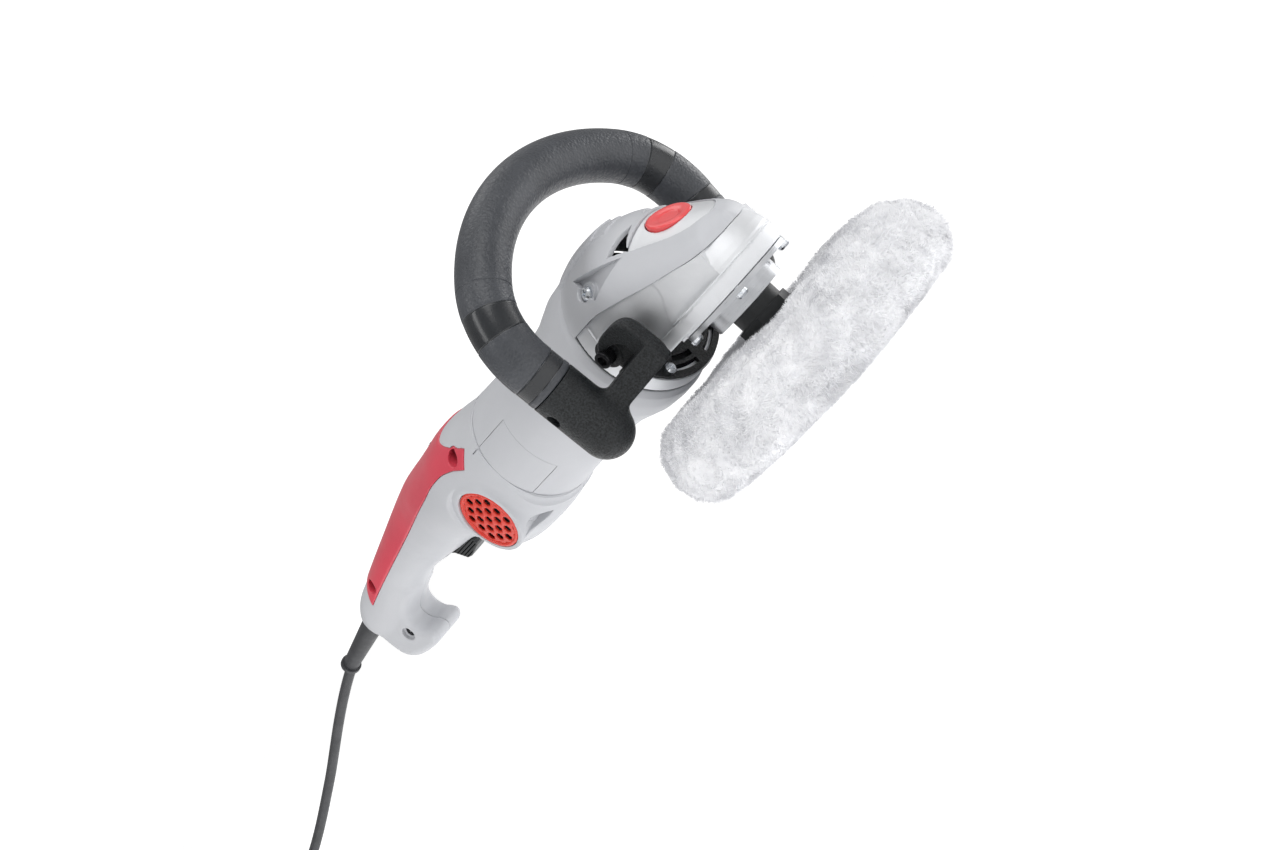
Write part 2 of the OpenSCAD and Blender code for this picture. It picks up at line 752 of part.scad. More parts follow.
module rear_body(shrink) {
    slice_chain(shell_path, shrink);
    slice_chain(belly_path, shrink);
    for (side = [-1, 1]) {
        at_grille(side) translate([0, 0, -18])
            cylinder(r = grille_r + grille_rim - shrink, h = 18 - shrink, $fn = fine);
    }
    for (i = [0:len(hook_path) - 2]) {
        hull() for (p = [hook_path[i], hook_path[i + 1]]) {
            for (y = [p[2] - hook_half, hook_half - p[2]]) {
                translate([p[0], y, p[1]]) sphere(r = p[2] - shrink, $fn = 20);
            }
        }
    }
}

module rear_shell(side) {
    color("lightgray") difference() {
        intersection() {
            rear_body(0);
            translate([-460, side > 0 ? 0 : -60, 20]) cube([460 + rear_x, 60, 140]);
        }
        intersection() {
            rear_body(wall);
            translate([-430, -60, 20]) cube([430 + rear_x + 1, 120, 140]);
        }
        // Trigger slot in the underside of the grip
        translate([-318, -trigger_w / 2 - 0.4, 60]) cube([32.5, trigger_w + 0.8, 40]);
        // Seat of the intake grille
        at_grille(side) translate([0, 0, -20]) cylinder(r = grille_r + 0.2, h = 60, $fn = fine);
        // Hole for the cord boot
        on_boot() {
            translate([0, 0, 2.5]) cylinder(r = 6.7, h = 40, $fn = soft);
            translate([0, 0, 7.4]) cylinder(r = 7.8, h = 40, $fn = soft);
        }
        // Holes for the lock-on button and the speed dial
        if (side > 0) {
            translate([-303, 15, 104]) rotate([-90, 0, 0]) cylinder(r = 5.3, h = 20, $fn = soft);
        }
        translate([-262, -2.2, 120]) cube([18, 4.4, 30]);
        for (p = shell_holes) {
            translate([p[0], 0, p[1]]) rotate([side > 0 ? -90 : 90, 0, 0]) {
                cylinder(r = 1.8, h = 60, $fn = soft);
                translate([0, 0, p[2]]) cylinder(r = 4.2, h = 60, $fn = soft);
            }
        }
    }
}

// Screws that hold the two shells together: [x, z, depth of the seat from the middle plane]
shell_holes = [[-391, 69, 12.5], [-211, 118, 29], [-378, 104.7, 12]];

module shell_screws() {
    color("#555555") for (p = shell_holes) {
        translate([p[0], -p[2], p[1]]) rotate([90, 0, 0]) pan_screw(3.6, 2.4, 1.7, p[2] * 2 - 2);
    }
}

// Grip overlay: [x, z] of its outline on the side of the handle
overlay_edge = [[-226, 140], [-226, 133], [-223.5, 129.5], [-213, 123.5], [-199, 116.6], [-207, 109.3],
    [-215, 113.6], [-224, 116.2], [-232, 117], [-244, 116.5], [-255, 114.7], [-278, 112.5], [-301, 110],
    [-339, 105], [-373, 99.7], [-389, 97], [-386, 106], [-382, 113], [-381, 140]];

module grip_overlay(side) {
    overlay_t = 1.2;
    color("crimson") difference() {
        intersection() {
            rear_body(-overlay_t);
            translate([0, side > 0 ? 60 : 0, 0]) rotate([90, 0, 0]) linear_extrude(height = 60)
                polygon(overlay_edge);
        }
        rear_body(0);
        translate([-262, -2.2, 120]) cube([18, 4.4, 30]);
        for (p = shell_holes) {
            translate([p[0], 0, p[1]]) rotate([side > 0 ? -90 : 90, 0, 0]) cylinder(r = 4.2, h = 60, $fn = soft);
        }
    }
}

module intake_grille(side) {
    pitch = 7;
    color("red") at_grille(side) translate([0, 0, -2.6]) difference() {
        cylinder(r = grille_r, h = 3, $fn = fine);
        for (row = [-2:2]) {
            for (column = [-2:2]) {
                x = (column + (row % 2 == 0 ? 0 : 0.5)) * pitch;
                y = row * pitch * 0.84;
                if (norm([x, y]) < grille_r - 4) {
                    translate([x, y, -1]) cylinder(r = 1.9, h = 6, $fn = 24);
                }
            }
        }
    }
}

// Controls and electrics in the handle

module switch_block() {
    color("#2f2f2f") difference() {
        union() {
            translate([-330, -9, 96]) cube([44, 18, 20]);
            both_sides() translate([-298, trigger_w / 2 + 0.3, 85.8]) cube([8, 2, 11.2]);
        }
        translate([trigger_pivot[0], 20, trigger_pivot[1]]) rotate([90, 0, 0]) cylinder(r = 1.5, h = 40, $fn = fine);
    }
}

module speed_module() {
    color("seagreen") {
        translate([-272, -12, 88]) cube([36, 24, 2]);
        translate([-268, -10, 90]) cube([16, 20, 9]);
        translate([-250, -8, 90]) cube([10, 16, 14]);
    }
}

trigger_pivot = [-294, 88];

module trigger() {
    color("black") difference() {
        union() {
            translate([trigger_pivot[0], trigger_w / 2, trigger_pivot[1]]) rotate([90, 0, 0])
                cylinder(r = 4, h = trigger_w, $fn = fine);
            translate([0, trigger_w / 2, 0]) rotate([90, 0, 0]) linear_extrude(height = trigger_w)
                polygon([[-294, 92], [-288, 87.5], [-286.6, 79], [-288.2, 75.2], [-300, 73.2], [-303.5, 74.4],
                         [-308.5, 81.5], [-316.5, 86.5], [-316.5, 91]]);
        }
        translate([trigger_pivot[0], 20, trigger_pivot[1]]) rotate([90, 0, 0])
            cylinder(r = 1.5 + fit_gap, h = 40, $fn = fine);
    }
}

module trigger_pin() {
    color("silver") translate([trigger_pivot[0], trigger_w / 2 + 2.3, trigger_pivot[1]]) rotate([90, 0, 0])
        cylinder(r = 1.5, h = trigger_w + 4.6, $fn = fine);
}

module trigger_spring() {
    color("silver") translate([-321, 0, 91.9]) for (i = [0:3]) {
        translate([8, 0, i * 1.2]) rotate_extrude($fn = soft) translate([2.4, 0]) circle(r = 0.4, $fn = 16);
    }
}

module lock_on_button() {
    color("black") translate([-303, 14.5, 104]) rotate([-90, 0, 0]) {
        cylinder(r = 7, h = 1.5, $fn = fine);
        cylinder(r = 5, h = 9.5, $fn = fine);
    }
}

module lock_on_spring() {
    color("silver") translate([-303, 10.2, 104]) rotate([-90, 0, 0]) for (i = [0:2]) {
        translate([0, 0, 0.6 + i * 1.4]) rotate_extrude($fn = soft) translate([3.2, 0]) circle(r = 0.4, $fn = 16);
    }
}

module speed_dial() {
    color("#222222") translate([-253, 2, 126.6]) rotate([90, 0, 0]) difference() {
        cylinder(r = 8, h = 4, $fn = fine);
        translate([0, 0, -1]) cylinder(r = 1.5, h = 6, $fn = fine);
        for (a = [0:20:340]) {
            rotate([0, 0, a]) translate([8.3, 0, -1]) cylinder(r = 0.8, h = 6, $fn = 16);
        }
    }
}

// Mains lead

module on_boot() {
    translate([-414, 0, 91]) rotate([0, -97.8, 0]) children();
}

module cord_boot() {
    color("#1c1c1c") on_boot() difference() {
        union() {
            cylinder(r = 8.2, h = 2.2, $fn = fine);
            cylinder(r = 6.4, h = 12, $fn = fine);
            translate([0, 0, 8]) cylinder(r1 = 7.2, r2 = 5, h = 62, $fn = fine);
            translate([0, 0, 66]) cylinder(r = 6.6, h = 2.4, $fn = fine);
        }
        translate([0, 0, -1]) cylinder(r = cord_r, h = 80, $fn = fine);
    }
}

module cord() {
    color("#202020") {
        swept_tube(smooth(cord_route, 2), cord_r, 8);
        swept_tube(smooth(tail_route, 2), cord_r, 8);
    }
}

module cord_coil() {
    layer = cord_d;
    color("#202020") translate([coil_at[0], coil_at[1], 0]) rotate_extrude($fn = fine)
        translate([coil_mid_r - 1.5 * layer, 0]) square([3 * layer, 3 * layer]);
}

module cord_tie() {
    color("#111111") translate([coil_at[0] - coil_mid_r, coil_at[1], 0]) difference() {
        translate([-12, -3, 0]) cube([24, 6, 22.5]);
        translate([-10.5, -4, -1]) cube([21, 8, 22]);
    }
}

module plug() {
    body_r = 7.4;
    color("#1a1a1a") translate(plug_at) rotate([90, 0, 0]) difference() {
        union() {
            cylinder(r1 = 4.6, r2 = 6.4, h = 24, $fn = soft);
            hull() {
                translate([0, 0, 20]) cylinder(r = body_r - 1, h = 4, $fn = soft);
                for (x = [-14, 14]) {
                    translate([x, 0, 40]) cylinder(r = body_r, h = 6, $fn = soft);
                }
            }
        }
        translate([0, 0, -1]) cylinder(r = cord_r, h = 13, $fn = soft);
        for (x = [-pin_gap / 2, pin_gap / 2]) {
            translate([x, 0, 38]) cylinder(r = 1.9, h = 10, $fn = fine);
        }
    }
}

module plug_pins() {
    color("silver") translate(plug_at) rotate([90, 0, 0]) for (x = [-pin_gap / 2, pin_gap / 2]) {
        translate([x, 0, 38]) cylinder(r = 1.9, h = 8, $fn = fine);
        translate([x, 0, 46]) cylinder(r = 2.4, h = pin_len, $fn = fine);
    }
}

gear_case();
bearing_cover();
gear_cover();
exhaust_plate();
gasket();
motor_housing();
rear_shell(-1);  // rear_shell_right
rear_shell(1);  // rear_shell_left
grip_overlay(-1);  // grip_overlay_right
grip_overlay(1);  // grip_overlay_left
intake_grille(-1);  // intake_grille_right
intake_grille(1);  // intake_grille_left
brush_cover(-1);  // brush_cover_right
brush_cover(1);  // brush_cover_left
d_handle_frame();
d_handle_grip();
d_handle_bolts();
flange_screws();
cover_screws();
plate_screw();
shell_screws();
stator_core();
field_coils();
brush_holders();
carbon_brushes();
switch_block();
speed_module();
lock_bushing();
front_bearing();
rear_bearing();
lower_spindle_bearing();
upper_spindle_bearing();
spindle();
ring_gear();
backing_pad();
pad_nut();
wool_bonnet();
armature_shaft();
pinion();
fan();
armature_core();
commutator();
lock_button();
lock_pin();
lock_spring();
trigger();
trigger_pin();
trigger_spring();
lock_on_button();
lock_on_spring();
speed_dial();
cord_boot();
cord();
cord_coil();
cord_tie();
plug();
plug_pins();
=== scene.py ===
import math

import bpy
import numpy as np
from mathutils import Matrix, Vector


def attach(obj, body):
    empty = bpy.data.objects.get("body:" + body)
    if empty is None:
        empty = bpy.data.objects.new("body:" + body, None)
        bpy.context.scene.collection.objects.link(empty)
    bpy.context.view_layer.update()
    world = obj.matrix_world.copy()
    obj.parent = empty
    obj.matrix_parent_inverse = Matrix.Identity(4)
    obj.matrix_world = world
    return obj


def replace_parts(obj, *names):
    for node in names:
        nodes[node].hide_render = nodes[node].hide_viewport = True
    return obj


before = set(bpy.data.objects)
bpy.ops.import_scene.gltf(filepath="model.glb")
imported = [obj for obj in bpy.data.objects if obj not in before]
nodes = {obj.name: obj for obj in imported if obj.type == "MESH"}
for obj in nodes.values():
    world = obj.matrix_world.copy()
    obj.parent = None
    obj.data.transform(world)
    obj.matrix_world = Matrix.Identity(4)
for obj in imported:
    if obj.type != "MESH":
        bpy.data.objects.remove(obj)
bpy.context.view_layer.update()
MM = 0.001

# ------------------------------------------------------------------ camera
# The tool is seen from its right front quarter, almost level with the pad,
# and turned anticlockwise in the picture.

azimuth, roll = math.radians(48.4), math.radians(48.0)
look = Vector((-0.74749, 0.66346, -0.03298)).normalized()
level = Vector((math.cos(azimuth), math.sin(azimuth), 0.0))
over = level.cross(look)
right = level * math.cos(roll) - over * math.sin(roll)
up = level * math.sin(roll) + over * math.cos(roll)

camera_data = bpy.data.cameras.new("camera")
camera_data.lens = 69.02
camera_data.sensor_width = 36.0
camera_data.clip_start, camera_data.clip_end = 0.02, 50.0
eye = Vector((0.851, -0.8648, 0.0986))
camera = bpy.data.objects.new("camera", camera_data)
camera.matrix_world = Matrix((
    (right.x, up.x, -look.x, eye.x),
    (right.y, up.y, -look.y, eye.y),
    (right.z, up.z, -look.z, eye.z),
    (0.0, 0.0, 0.0, 1.0),
))
bpy.context.scene.collection.objects.link(camera)
bpy.context.scene.camera = camera

# ------------------------------------------------------------------ meshes


def add_mesh(name, verts, faces, mat, body, sharp):
    """A mesh object from points in millimetres and faces, riding on a body."""
    mesh = bpy.data.meshes.new(name)
    verts = np.asarray(verts, float) * MM
    if isinstance(faces, np.ndarray):
        k = faces.shape[1]
        mesh.vertices.add(len(verts))
        mesh.vertices.foreach_set("co", verts.astype(np.float32).ravel())
        mesh.loops.add(faces.size)
        mesh.loops.foreach_set("vertex_index", faces.astype(np.int32).ravel())
        mesh.polygons.add(len(faces))
        mesh.polygons.foreach_set("loop_start", np.arange(0, faces.size, k, dtype=np.int32))
        mesh.update(calc_edges=True)
    else:
        mesh.from_pydata([tuple(v) for v in verts], [], [tuple(f) for f in faces])
    mesh.validate()
    mesh.shade_smooth()
    if sharp is not None:
        mesh.set_sharp_from_angle(angle=math.radians(sharp))
    piece = bpy.data.objects.new(name, mesh)
    bpy.context.scene.collection.objects.link(piece)
    mesh.materials.append(mat)
    if body is not None:
        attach(piece, body)
    return piece


# ------------------------------------------------------------------ fields
# A solid is described by a field: negative inside, positive outside, in
# millimetres. contour() turns a field into a closed mesh with crisp edges.


def unit(v):
    v = np.asarray(v, float)
    return v / np.linalg.norm(v)


def join(a, b, k=0.0):
    """Union, with a fillet of about k."""
    if k <= 0:
        return np.minimum(a, b)
    h = np.maximum(k - np.abs(a - b), 0) / k
    return np.minimum(a, b) - h * h * k * 0.25


def meet(a, b, k=0.0):
    """Intersection, with edges rounded by about k."""
    return -join(-a, -b, k)


def within(*fields):
    """What lies inside all the fields, with sharp edges."""
    body = fields[0]
    for other in fields[1:]:
        body = np.maximum(body, other)
    return body


def carve(a, b, k=0.0):
    """a without b."""
    return meet(a, -b, k)


def ahead(p, start, way):
    """How far p lies from a start along a direction."""
    return sum((p[i] - start[i]) * way[i] for i in range(3))


def folded(p):
    """p with its right side laid over its left."""
    return [p[0], np.abs(p[1]), p[2]]


def ball(p, centre, r):
    return np.sqrt(sum((p[i] - centre[i]) ** 2 for i in range(3))) - r


def along(p, a, b):
    """Distance from a line's axis and place along it, in millimetres."""
    t = ahead(p, a, unit(np.subtract(b, a)))
    r2 = sum((p[i] - a[i]) ** 2 for i in range(3)) - t * t
    return np.sqrt(np.maximum(r2, 1e-9)), t


def rod(p, a, b, r, k=0.0):
    """A cylinder from a to b, with rounded rims."""
    length = float(np.linalg.norm(np.subtract(b, a)))
    rad, t = along(p, a, b)
    return meet(rad - r, np.abs(t - length / 2) - length / 2, k)


def capsule(p, a, b, r):
    """A rod from a to b with round ends."""
    a, b = np.asarray(a, float), np.asarray(b, float)
    d = b - a
    t = np.clip(ahead(p, a, d) / float(d @ d), 0, 1)
    return np.sqrt(sum((p[i] - a[i] - d[i] * t) ** 2 for i in range(3))) - r


def turned(p, centre, axes):
    """p in a local frame whose axes are the given unit vectors."""
    return [ahead(p, centre, axis) for axis in axes]


def block(p, centre, half, r=0.0):
    """A box with half sizes and rounded edges."""
    d = [np.abs(p[i] - centre[i]) - half[i] + r for i in range(3)]
    outside = np.sqrt(sum(np.maximum(v, 0) ** 2 for v in d))
    return outside + np.minimum(within(*d), 0) - r


def outline(u, v, points):
    """Distance from a closed outline in a plane."""
    pts = np.asarray(points, float)
    best = np.full(np.shape(u), 1e9)
    sign = np.ones(np.shape(u))
    for i in range(len(pts)):
        a, b = pts[i - 1], pts[i]
        e = b - a
        wu, wv = u - a[0], v - a[1]
        t = np.clip((wu * e[0] + wv * e[1]) / (e @ e), 0, 1)
        best = np.minimum(best, (wu - e[0] * t) ** 2 + (wv - e[1] * t) ** 2)
        crosses = (a[1] <= v) != (b[1] <= v)
        side = (e[0] * wv - e[1] * wu) * (1 if e[1] > 0 else -1) < 0
        sign = np.where(crosses & ~side, -sign, sign)
    return np.sqrt(best) * sign


def rounded(flat, side, r):
    """A flat outline given a thickness: both distances, and the radius of the edges."""
    a, b = flat + r, side + r
    return np.hypot(np.maximum(a, 0), np.maximum(b, 0)) + np.minimum(np.maximum(a, b), 0) - r


def ease(points, steps):
    """A smooth open line through the points."""
    p = np.asarray(points, float)
    out = []
    for i in range(len(p) - 1):
        p0, p1, p2, p3 = p[max(i - 1, 0)], p[i], p[i + 1], p[min(i + 2, len(p) - 1)]
        for j in range(steps):
            t = j / steps
            out.append(0.5 * (2 * p1 + (p2 - p0) * t + (2 * p0 - 5 * p1 + 4 * p2 - p3) * t * t
                              + (3 * p1 - p0 - 3 * p2 + p3) * t ** 3))
    out.append(p[-1])
    return np.array(out)


def distances(line):
    """Distance along a line up to each of its points."""
    return np.concatenate([[0], np.cumsum(np.linalg.norm(np.diff(line, axis=0), axis=1))])


def follow(stations, column):
    """A smooth function of x through one column of stations."""
    s = np.asarray(sorted(stations, key=lambda row: row[0]), float)
    x, y = s[:, 0], s[:, column]
    m = np.gradient(y, x)
    xs = np.arange(x[0], x[-1] + 0.25, 0.25)
    i = np.clip(np.searchsorted(x, xs, side="right") - 1, 0, len(x) - 2)
    h = x[i + 1] - x[i]
    t = (xs - x[i]) / h
    ys = ((1 + 2 * t) * (1 - t) ** 2 * y[i] + t * (1 - t) ** 2 * h * m[i]
          + t * t * (3 - 2 * t) * y[i + 1] + t * t * (t - 1) * h * m[i + 1])
    return lambda q: np.interp(q, xs, ys)


class Loft:
    """A body along X with superellipse sections: rows of x, top, bottom, half width."""

    def __init__(self, stations, n):
        self.top, self.bottom, self.half = (follow(stations, c) for c in (1, 2, 3))
        self.n = n

    def __call__(self, p):
        top, bottom, half = (f(p[0]) for f in (self.top, self.bottom, self.half))
        cz, hz = (top + bottom) / 2, (top - bottom) / 2
        dz = p[2] - cz
        g = ((np.abs(p[1]) / half) ** self.n + (np.abs(dz) / hz) ** self.n) ** (1 / self.n)
        r = np.sqrt(p[1] ** 2 + dz ** 2)
        return r * (1 - 1 / np.maximum(g, 1e-3)) * np.where(g < 0.15, 0.5, 1.0)


def contour(field, lo, hi, h):
    """Points and quads of the surface where field is zero, by dual contouring."""
    lo, hi = np.asarray(lo, float) - 0.37 * h, np.asarray(hi, float) + 0.41 * h
    block_n = 4
    nb = np.ceil((hi - lo) / (h * block_n)).astype(int) + 1
    n = nb * block_n
    ax = [lo[i] + h * np.arange(n[i]) for i in range(3)]
    mids = [lo[i] + h * (block_n * np.arange(nb[i]) + (block_n - 1) / 2) for i in range(3)]
    grid = np.meshgrid(*mids, indexing="ij")
    coarse = field([g.ravel() for g in grid]).reshape(nb)
    near = np.argwhere(np.abs(coarse) < h * block_n * 1.45)
    values = np.repeat(np.repeat(np.repeat(coarse, block_n, 0), block_n, 1), block_n, 2)
    step = np.arange(block_n)
    off = np.stack(np.meshgrid(step, step, step, indexing="ij"), -1).reshape(-1, 3)
    for part in np.array_split(near, max(1, len(near) // 6000)):
        idx = (part[:, None, :] * block_n + off[None]).reshape(-1, 3)
        v = field([ax[i][idx[:, i]] for i in range(3)])
        values[idx[:, 0], idx[:, 1], idx[:, 2]] = v
    inside = values < 0
    inside[0], inside[-1], inside[:, 0], inside[:, -1] = False, False, False, False
    inside[:, :, 0], inside[:, :, -1] = False, False
    stride = np.array([n[1] * n[2], n[2], 1])
    cells, points, quads = [], [], []
    for axis in range(3):
        u, w = (axis + 1) % 3, (axis + 2) % 3
        a = np.take(inside, range(0, n[axis] - 1), axis)
        b = np.take(inside, range(1, n[axis]), axis)
        e = np.argwhere(a != b)
        e = e[(e[:, u] > 0) & (e[:, w] > 0) & (e[:, u] < n[u] - 1) & (e[:, w] < n[w] - 1)]
        fa = values[tuple(e.T)]
        nxt = e.copy()
        nxt[:, axis] += 1
        fb = values[tuple(nxt.T)]
        t = np.clip(fa / np.where(np.abs(fa - fb) < 1e-9, 1e-9, fa - fb), 0.02, 0.98)
        base = np.stack([ax[i][e[:, i]] for i in range(3)], -1)
        t0, t1, f0, f1 = np.zeros(len(t)), np.ones(len(t)), fa.copy(), fb.copy()
        for _ in range(4):
            q = base.copy()
            q[:, axis] += t * h
            f = field([q[:, 0], q[:, 1], q[:, 2]])
            low = (f < 0) == (f0 < 0)
            t0, f0 = np.where(low, t, t0), np.where(low, f, f0)
            t1, f1 = np.where(low, t1, t), np.where(low, f1, f)
            mix = np.clip(f0 / np.where(np.abs(f0 - f1) < 1e-12, 1e-12, f0 - f1), 0.1, 0.9)
            t = t0 + (t1 - t0) * mix
        q = base.copy()
        q[:, axis] += t * h
        around = []
        for du, dw in ((-1, -1), (0, -1), (0, 0), (-1, 0)):
            c = e.copy()
            c[:, u] += du
            c[:, w] += dw
            around.append(c @ stride)
        around = np.stack(around, -1)
        solid_first = inside[tuple(e.T)]
        quads.append(np.where(solid_first[:, None], around, around[:, ::-1]))
        cells.append(around)
        points.append(q)
    points = np.concatenate(points)
    cells = np.concatenate(cells)
    quads = np.concatenate(quads)
    near_by = 0.08 * h * np.eye(3)
    normal = np.stack([field(list((points + d).T)) - field(list((points - d).T)) for d in near_by], -1)
    normal /= np.maximum(np.linalg.norm(normal, axis=1, keepdims=True), 1e-12)
    ids, inverse = np.unique(cells.ravel(), return_inverse=True)
    src = np.repeat(np.arange(len(points)), 4)
    count = np.bincount(inverse, minlength=len(ids)).astype(float)
    mass = np.stack([np.bincount(inverse, points[src, k], len(ids)) for k in range(3)], -1) / count[:, None]
    ns = normal[src]
    dist = np.sum(ns * (points[src] - mass[inverse]), 1)
    ata = np.zeros((len(ids), 3, 3))
    atb = np.zeros((len(ids), 3))
    for i in range(3):
        atb[:, i] = np.bincount(inverse, ns[:, i] * dist, len(ids))
        for j in range(i, 3):
            ata[:, i, j] = ata[:, j, i] = np.bincount(inverse, ns[:, i] * ns[:, j], len(ids))
    ata += 0.06 * np.eye(3)[None]
    shift = np.linalg.solve(ata, atb[..., None])[..., 0]
    length = np.linalg.norm(shift, axis=1, keepdims=True)
    shift *= np.minimum(1, 1.2 * h / np.maximum(length, 1e-9))
    quads = np.searchsorted(ids, quads.ravel()).reshape(-1, 4)
    return mass + shift, quads


def solid(name, field, lo, hi, h, mat, body="root"):
    """A meshed field inside a box, with a grid step of h."""
    verts, quads = contour(field, lo, hi, h)
    return add_mesh(name, verts, quads, mat, body, 32.0)


def pair(name, field_of, lo, hi, h, mat, node=None):
    """One piece on each side, made from the left one's box; each may replace its own node."""
    pieces = []
    for side, hand in ((-1, "right"), (1, "left")):
        y_lo, y_hi = sorted((side * lo[1], side * hi[1]))
        piece = solid(f"{name}_{hand}", field_of(side), (lo[0], y_lo, lo[2]), (hi[0], y_hi, hi[2]), h, mat)
        if node:
            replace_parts(piece, f"{node}_{hand}")
        pieces.append(piece)
    return pieces


# --------------------------------------------------------------- materials


class Paint:
    """A Principled material whose colour, roughness and relief come from nodes."""

    def __init__(self, name, **fixed):
        self.mat = bpy.data.materials.new(name)
        self.mat.use_nodes = True
        self.tree = self.mat.node_tree
        self.shader = self.tree.nodes["Principled BSDF"]
        for key, value in fixed.items():
            self.shader.inputs[key.replace("_", " ")].default_value = value
        self.place = self.tree.nodes.new("ShaderNodeTexCoord").outputs["Object"]
        self.relief = None

    def node(self, kind, settings=None, **inputs):
        made = self.tree.nodes.new("ShaderNode" + kind)
        for key, value in (settings or {}).items():
            setattr(made, key, value)
        for key, value in inputs.items():
            socket = made.inputs[int(key[1:]) if key[1:].isdigit() else key.replace("_", " ")]
            if isinstance(value, bpy.types.NodeSocket):
                self.tree.links.new(value, socket)
            else:
                socket.default_value = value
        return made

    def stretched(self, scale):
        return self.node("Mapping", Vector=self.place, Scale=scale).outputs["Vector"]

    def noise(self, scale, detail=3.0, rough=0.55, where=None, twist=0.0):
        return self.node("TexNoise", Vector=where or self.place, Scale=scale, Detail=detail,
                         Roughness=rough, Distortion=twist).outputs["Fac"]

    def cells(self, scale, feature="F1", smooth=None, random=1.0):
        made = self.node("TexVoronoi", {"feature": feature}, Vector=self.place, Scale=scale,
                         Randomness=random)
        if smooth is not None:
            made.inputs["Smoothness"].default_value = smooth
        return made.outputs["Distance"]

    def bands(self, way, scale, waver):
        return self.node("TexWave", {"wave_type": "BANDS", "bands_direction": way}, Vector=self.place,
                         Scale=scale, Distortion=waver).outputs["Fac"]

    def ramp(self, fac, *stops):
        made = self.node("ValToRGB", Fac=fac)
        band = made.color_ramp
        while len(band.elements) < len(stops):
            band.elements.new(0.5)
        for stop, (at, tone) in zip(band.elements, stops):
            stop.position = at
            stop.color = (tone, tone, tone, 1) if np.isscalar(tone) else (*tone, 1)
        return made.outputs["Color"]

    def math(self, op, a, b):
        return self.node("Math", {"operation": op}, _0=a, _1=b).outputs["Value"]

    def mix(self, a, share_a, b, share_b):
        """Two patterns added in the given shares."""
        return self.math("ADD", self.math("MULTIPLY", a, share_a), self.math("MULTIPLY", b, share_b))

    def bump(self, height, depth, strength=1.0):
        """Relief of the given depth in metres."""
        made = self.node("Bump", Height=height, Strength=strength, Distance=depth)
        if self.relief is not None:
            self.tree.links.new(self.relief, made.inputs["Normal"])
        self.relief = made.outputs["Normal"]

    def tint(self, fac, *stops):
        self.tree.links.new(self.ramp(fac, *stops), self.shader.inputs["Base Color"])

    def shine(self, fac, *stops):
        self.tree.links.new(self.ramp(fac, *stops), self.shader.inputs["Roughness"])

    def done(self):
        if self.relief is not None:
            self.tree.links.new(self.relief, self.shader.inputs["Normal"])
        return self.mat


def moulded(name, low, high, rough=(0.36, 0.5), texture=1.0, scale=1500, **fixed):
    """Injection-moulded plastic with a fine spark-eroded grain and faint flow marks."""
    m = Paint(name, **fixed)
    flow = m.noise(14, 4, 0.6, twist=0.6)
    speck = m.noise(900, 2, 0.5)
    m.tint(m.mix(flow, 0.85, speck, 0.15), (0.3, low), (0.7, high))
    m.shine(m.noise(60, 5, 0.65), (0.3, rough[0]), (0.72, rough[1]))
    m.bump(m.noise(scale, 2, 0.5), 0.00006 * texture, 0.5)
    m.bump(m.cells(scale * 0.55), 0.00005 * texture, 0.4)
    return m.done()


grey_plastic = moulded("grey_plastic_paint", (0.49, 0.5, 0.525), (0.53, 0.538, 0.562), (0.4, 0.54), 0.8)
red_plastic = moulded("red_plastic_paint", (0.57, 0.045, 0.075), (0.65, 0.058, 0.09), (0.28, 0.4), 0.6, 1700,
                      Specular_IOR_Level=0.5)
red_gloss = moulded("red_gloss_paint", (0.76, 0.075, 0.08), (0.84, 0.1, 0.105), (0.16, 0.26), 0.25, 1700)
grille_red = moulded("grille_red_paint", (0.62, 0.035, 0.02), (0.72, 0.05, 0.03), (0.2, 0.32), 0.3, 1700)
black_plastic = moulded("black_plastic_paint", (0.012, 0.014, 0.015), (0.022, 0.025, 0.027), texture=2.4,
                        scale=900)
band_rubber = moulded("band_rubber_paint", (0.01, 0.011, 0.013), (0.02, 0.022, 0.025), (0.2, 0.32), 1.2, 1200)


def coarse_plastic():
    """Black nylon with a deep eroded grain: shiny tops, dull pits."""
    m = Paint("coarse_black_paint", Specular_IOR_Level=0.32)
    grain = m.noise(1050, 3, 0.6)
    m.tint(grain, (0.36, (0.003, 0.0035, 0.004)), (0.66, (0.02, 0.023, 0.025)))
    m.shine(grain, (0.35, 0.55), (0.65, 0.3))
    m.bump(grain, 0.0004, 0.8)
    m.bump(m.cells(700), 0.0002, 0.5)
    return m.done()


def leather_rubber():
    """Soft grip rubber with a leather-like grain."""
    m = Paint("grip_rubber_paint", Specular_IOR_Level=0.55)
    grain = m.cells(620, "SMOOTH_F1", smooth=0.35)
    pores = m.cells(1500)
    folds = m.noise(240, 4, 0.6, twist=0.8)
    m.tint(m.noise(35, 4, 0.6), (0.3, (0.03, 0.033, 0.039)), (0.72, (0.055, 0.059, 0.068)))
    m.shine(m.mix(grain, 0.9, folds, 0.3), (0.2, 0.3), (0.8, 0.48))
    m.bump(grain, 0.0004, 0.55)
    m.bump(folds, 0.00035, 0.5)
    m.bump(pores, 0.00012, 0.35)
    return m.done()


def cord_rubber():
    m = Paint("cord_rubber_paint")
    m.tint(m.noise(50, 4, 0.6), (0.3, (0.03, 0.031, 0.034)), (0.7, (0.048, 0.049, 0.054)))
    m.shine(m.noise(120, 4, 0.6), (0.3, 0.42), (0.7, 0.6))
    m.bump(m.noise(700, 3, 0.6), 0.00012, 0.5)
    return m.done()


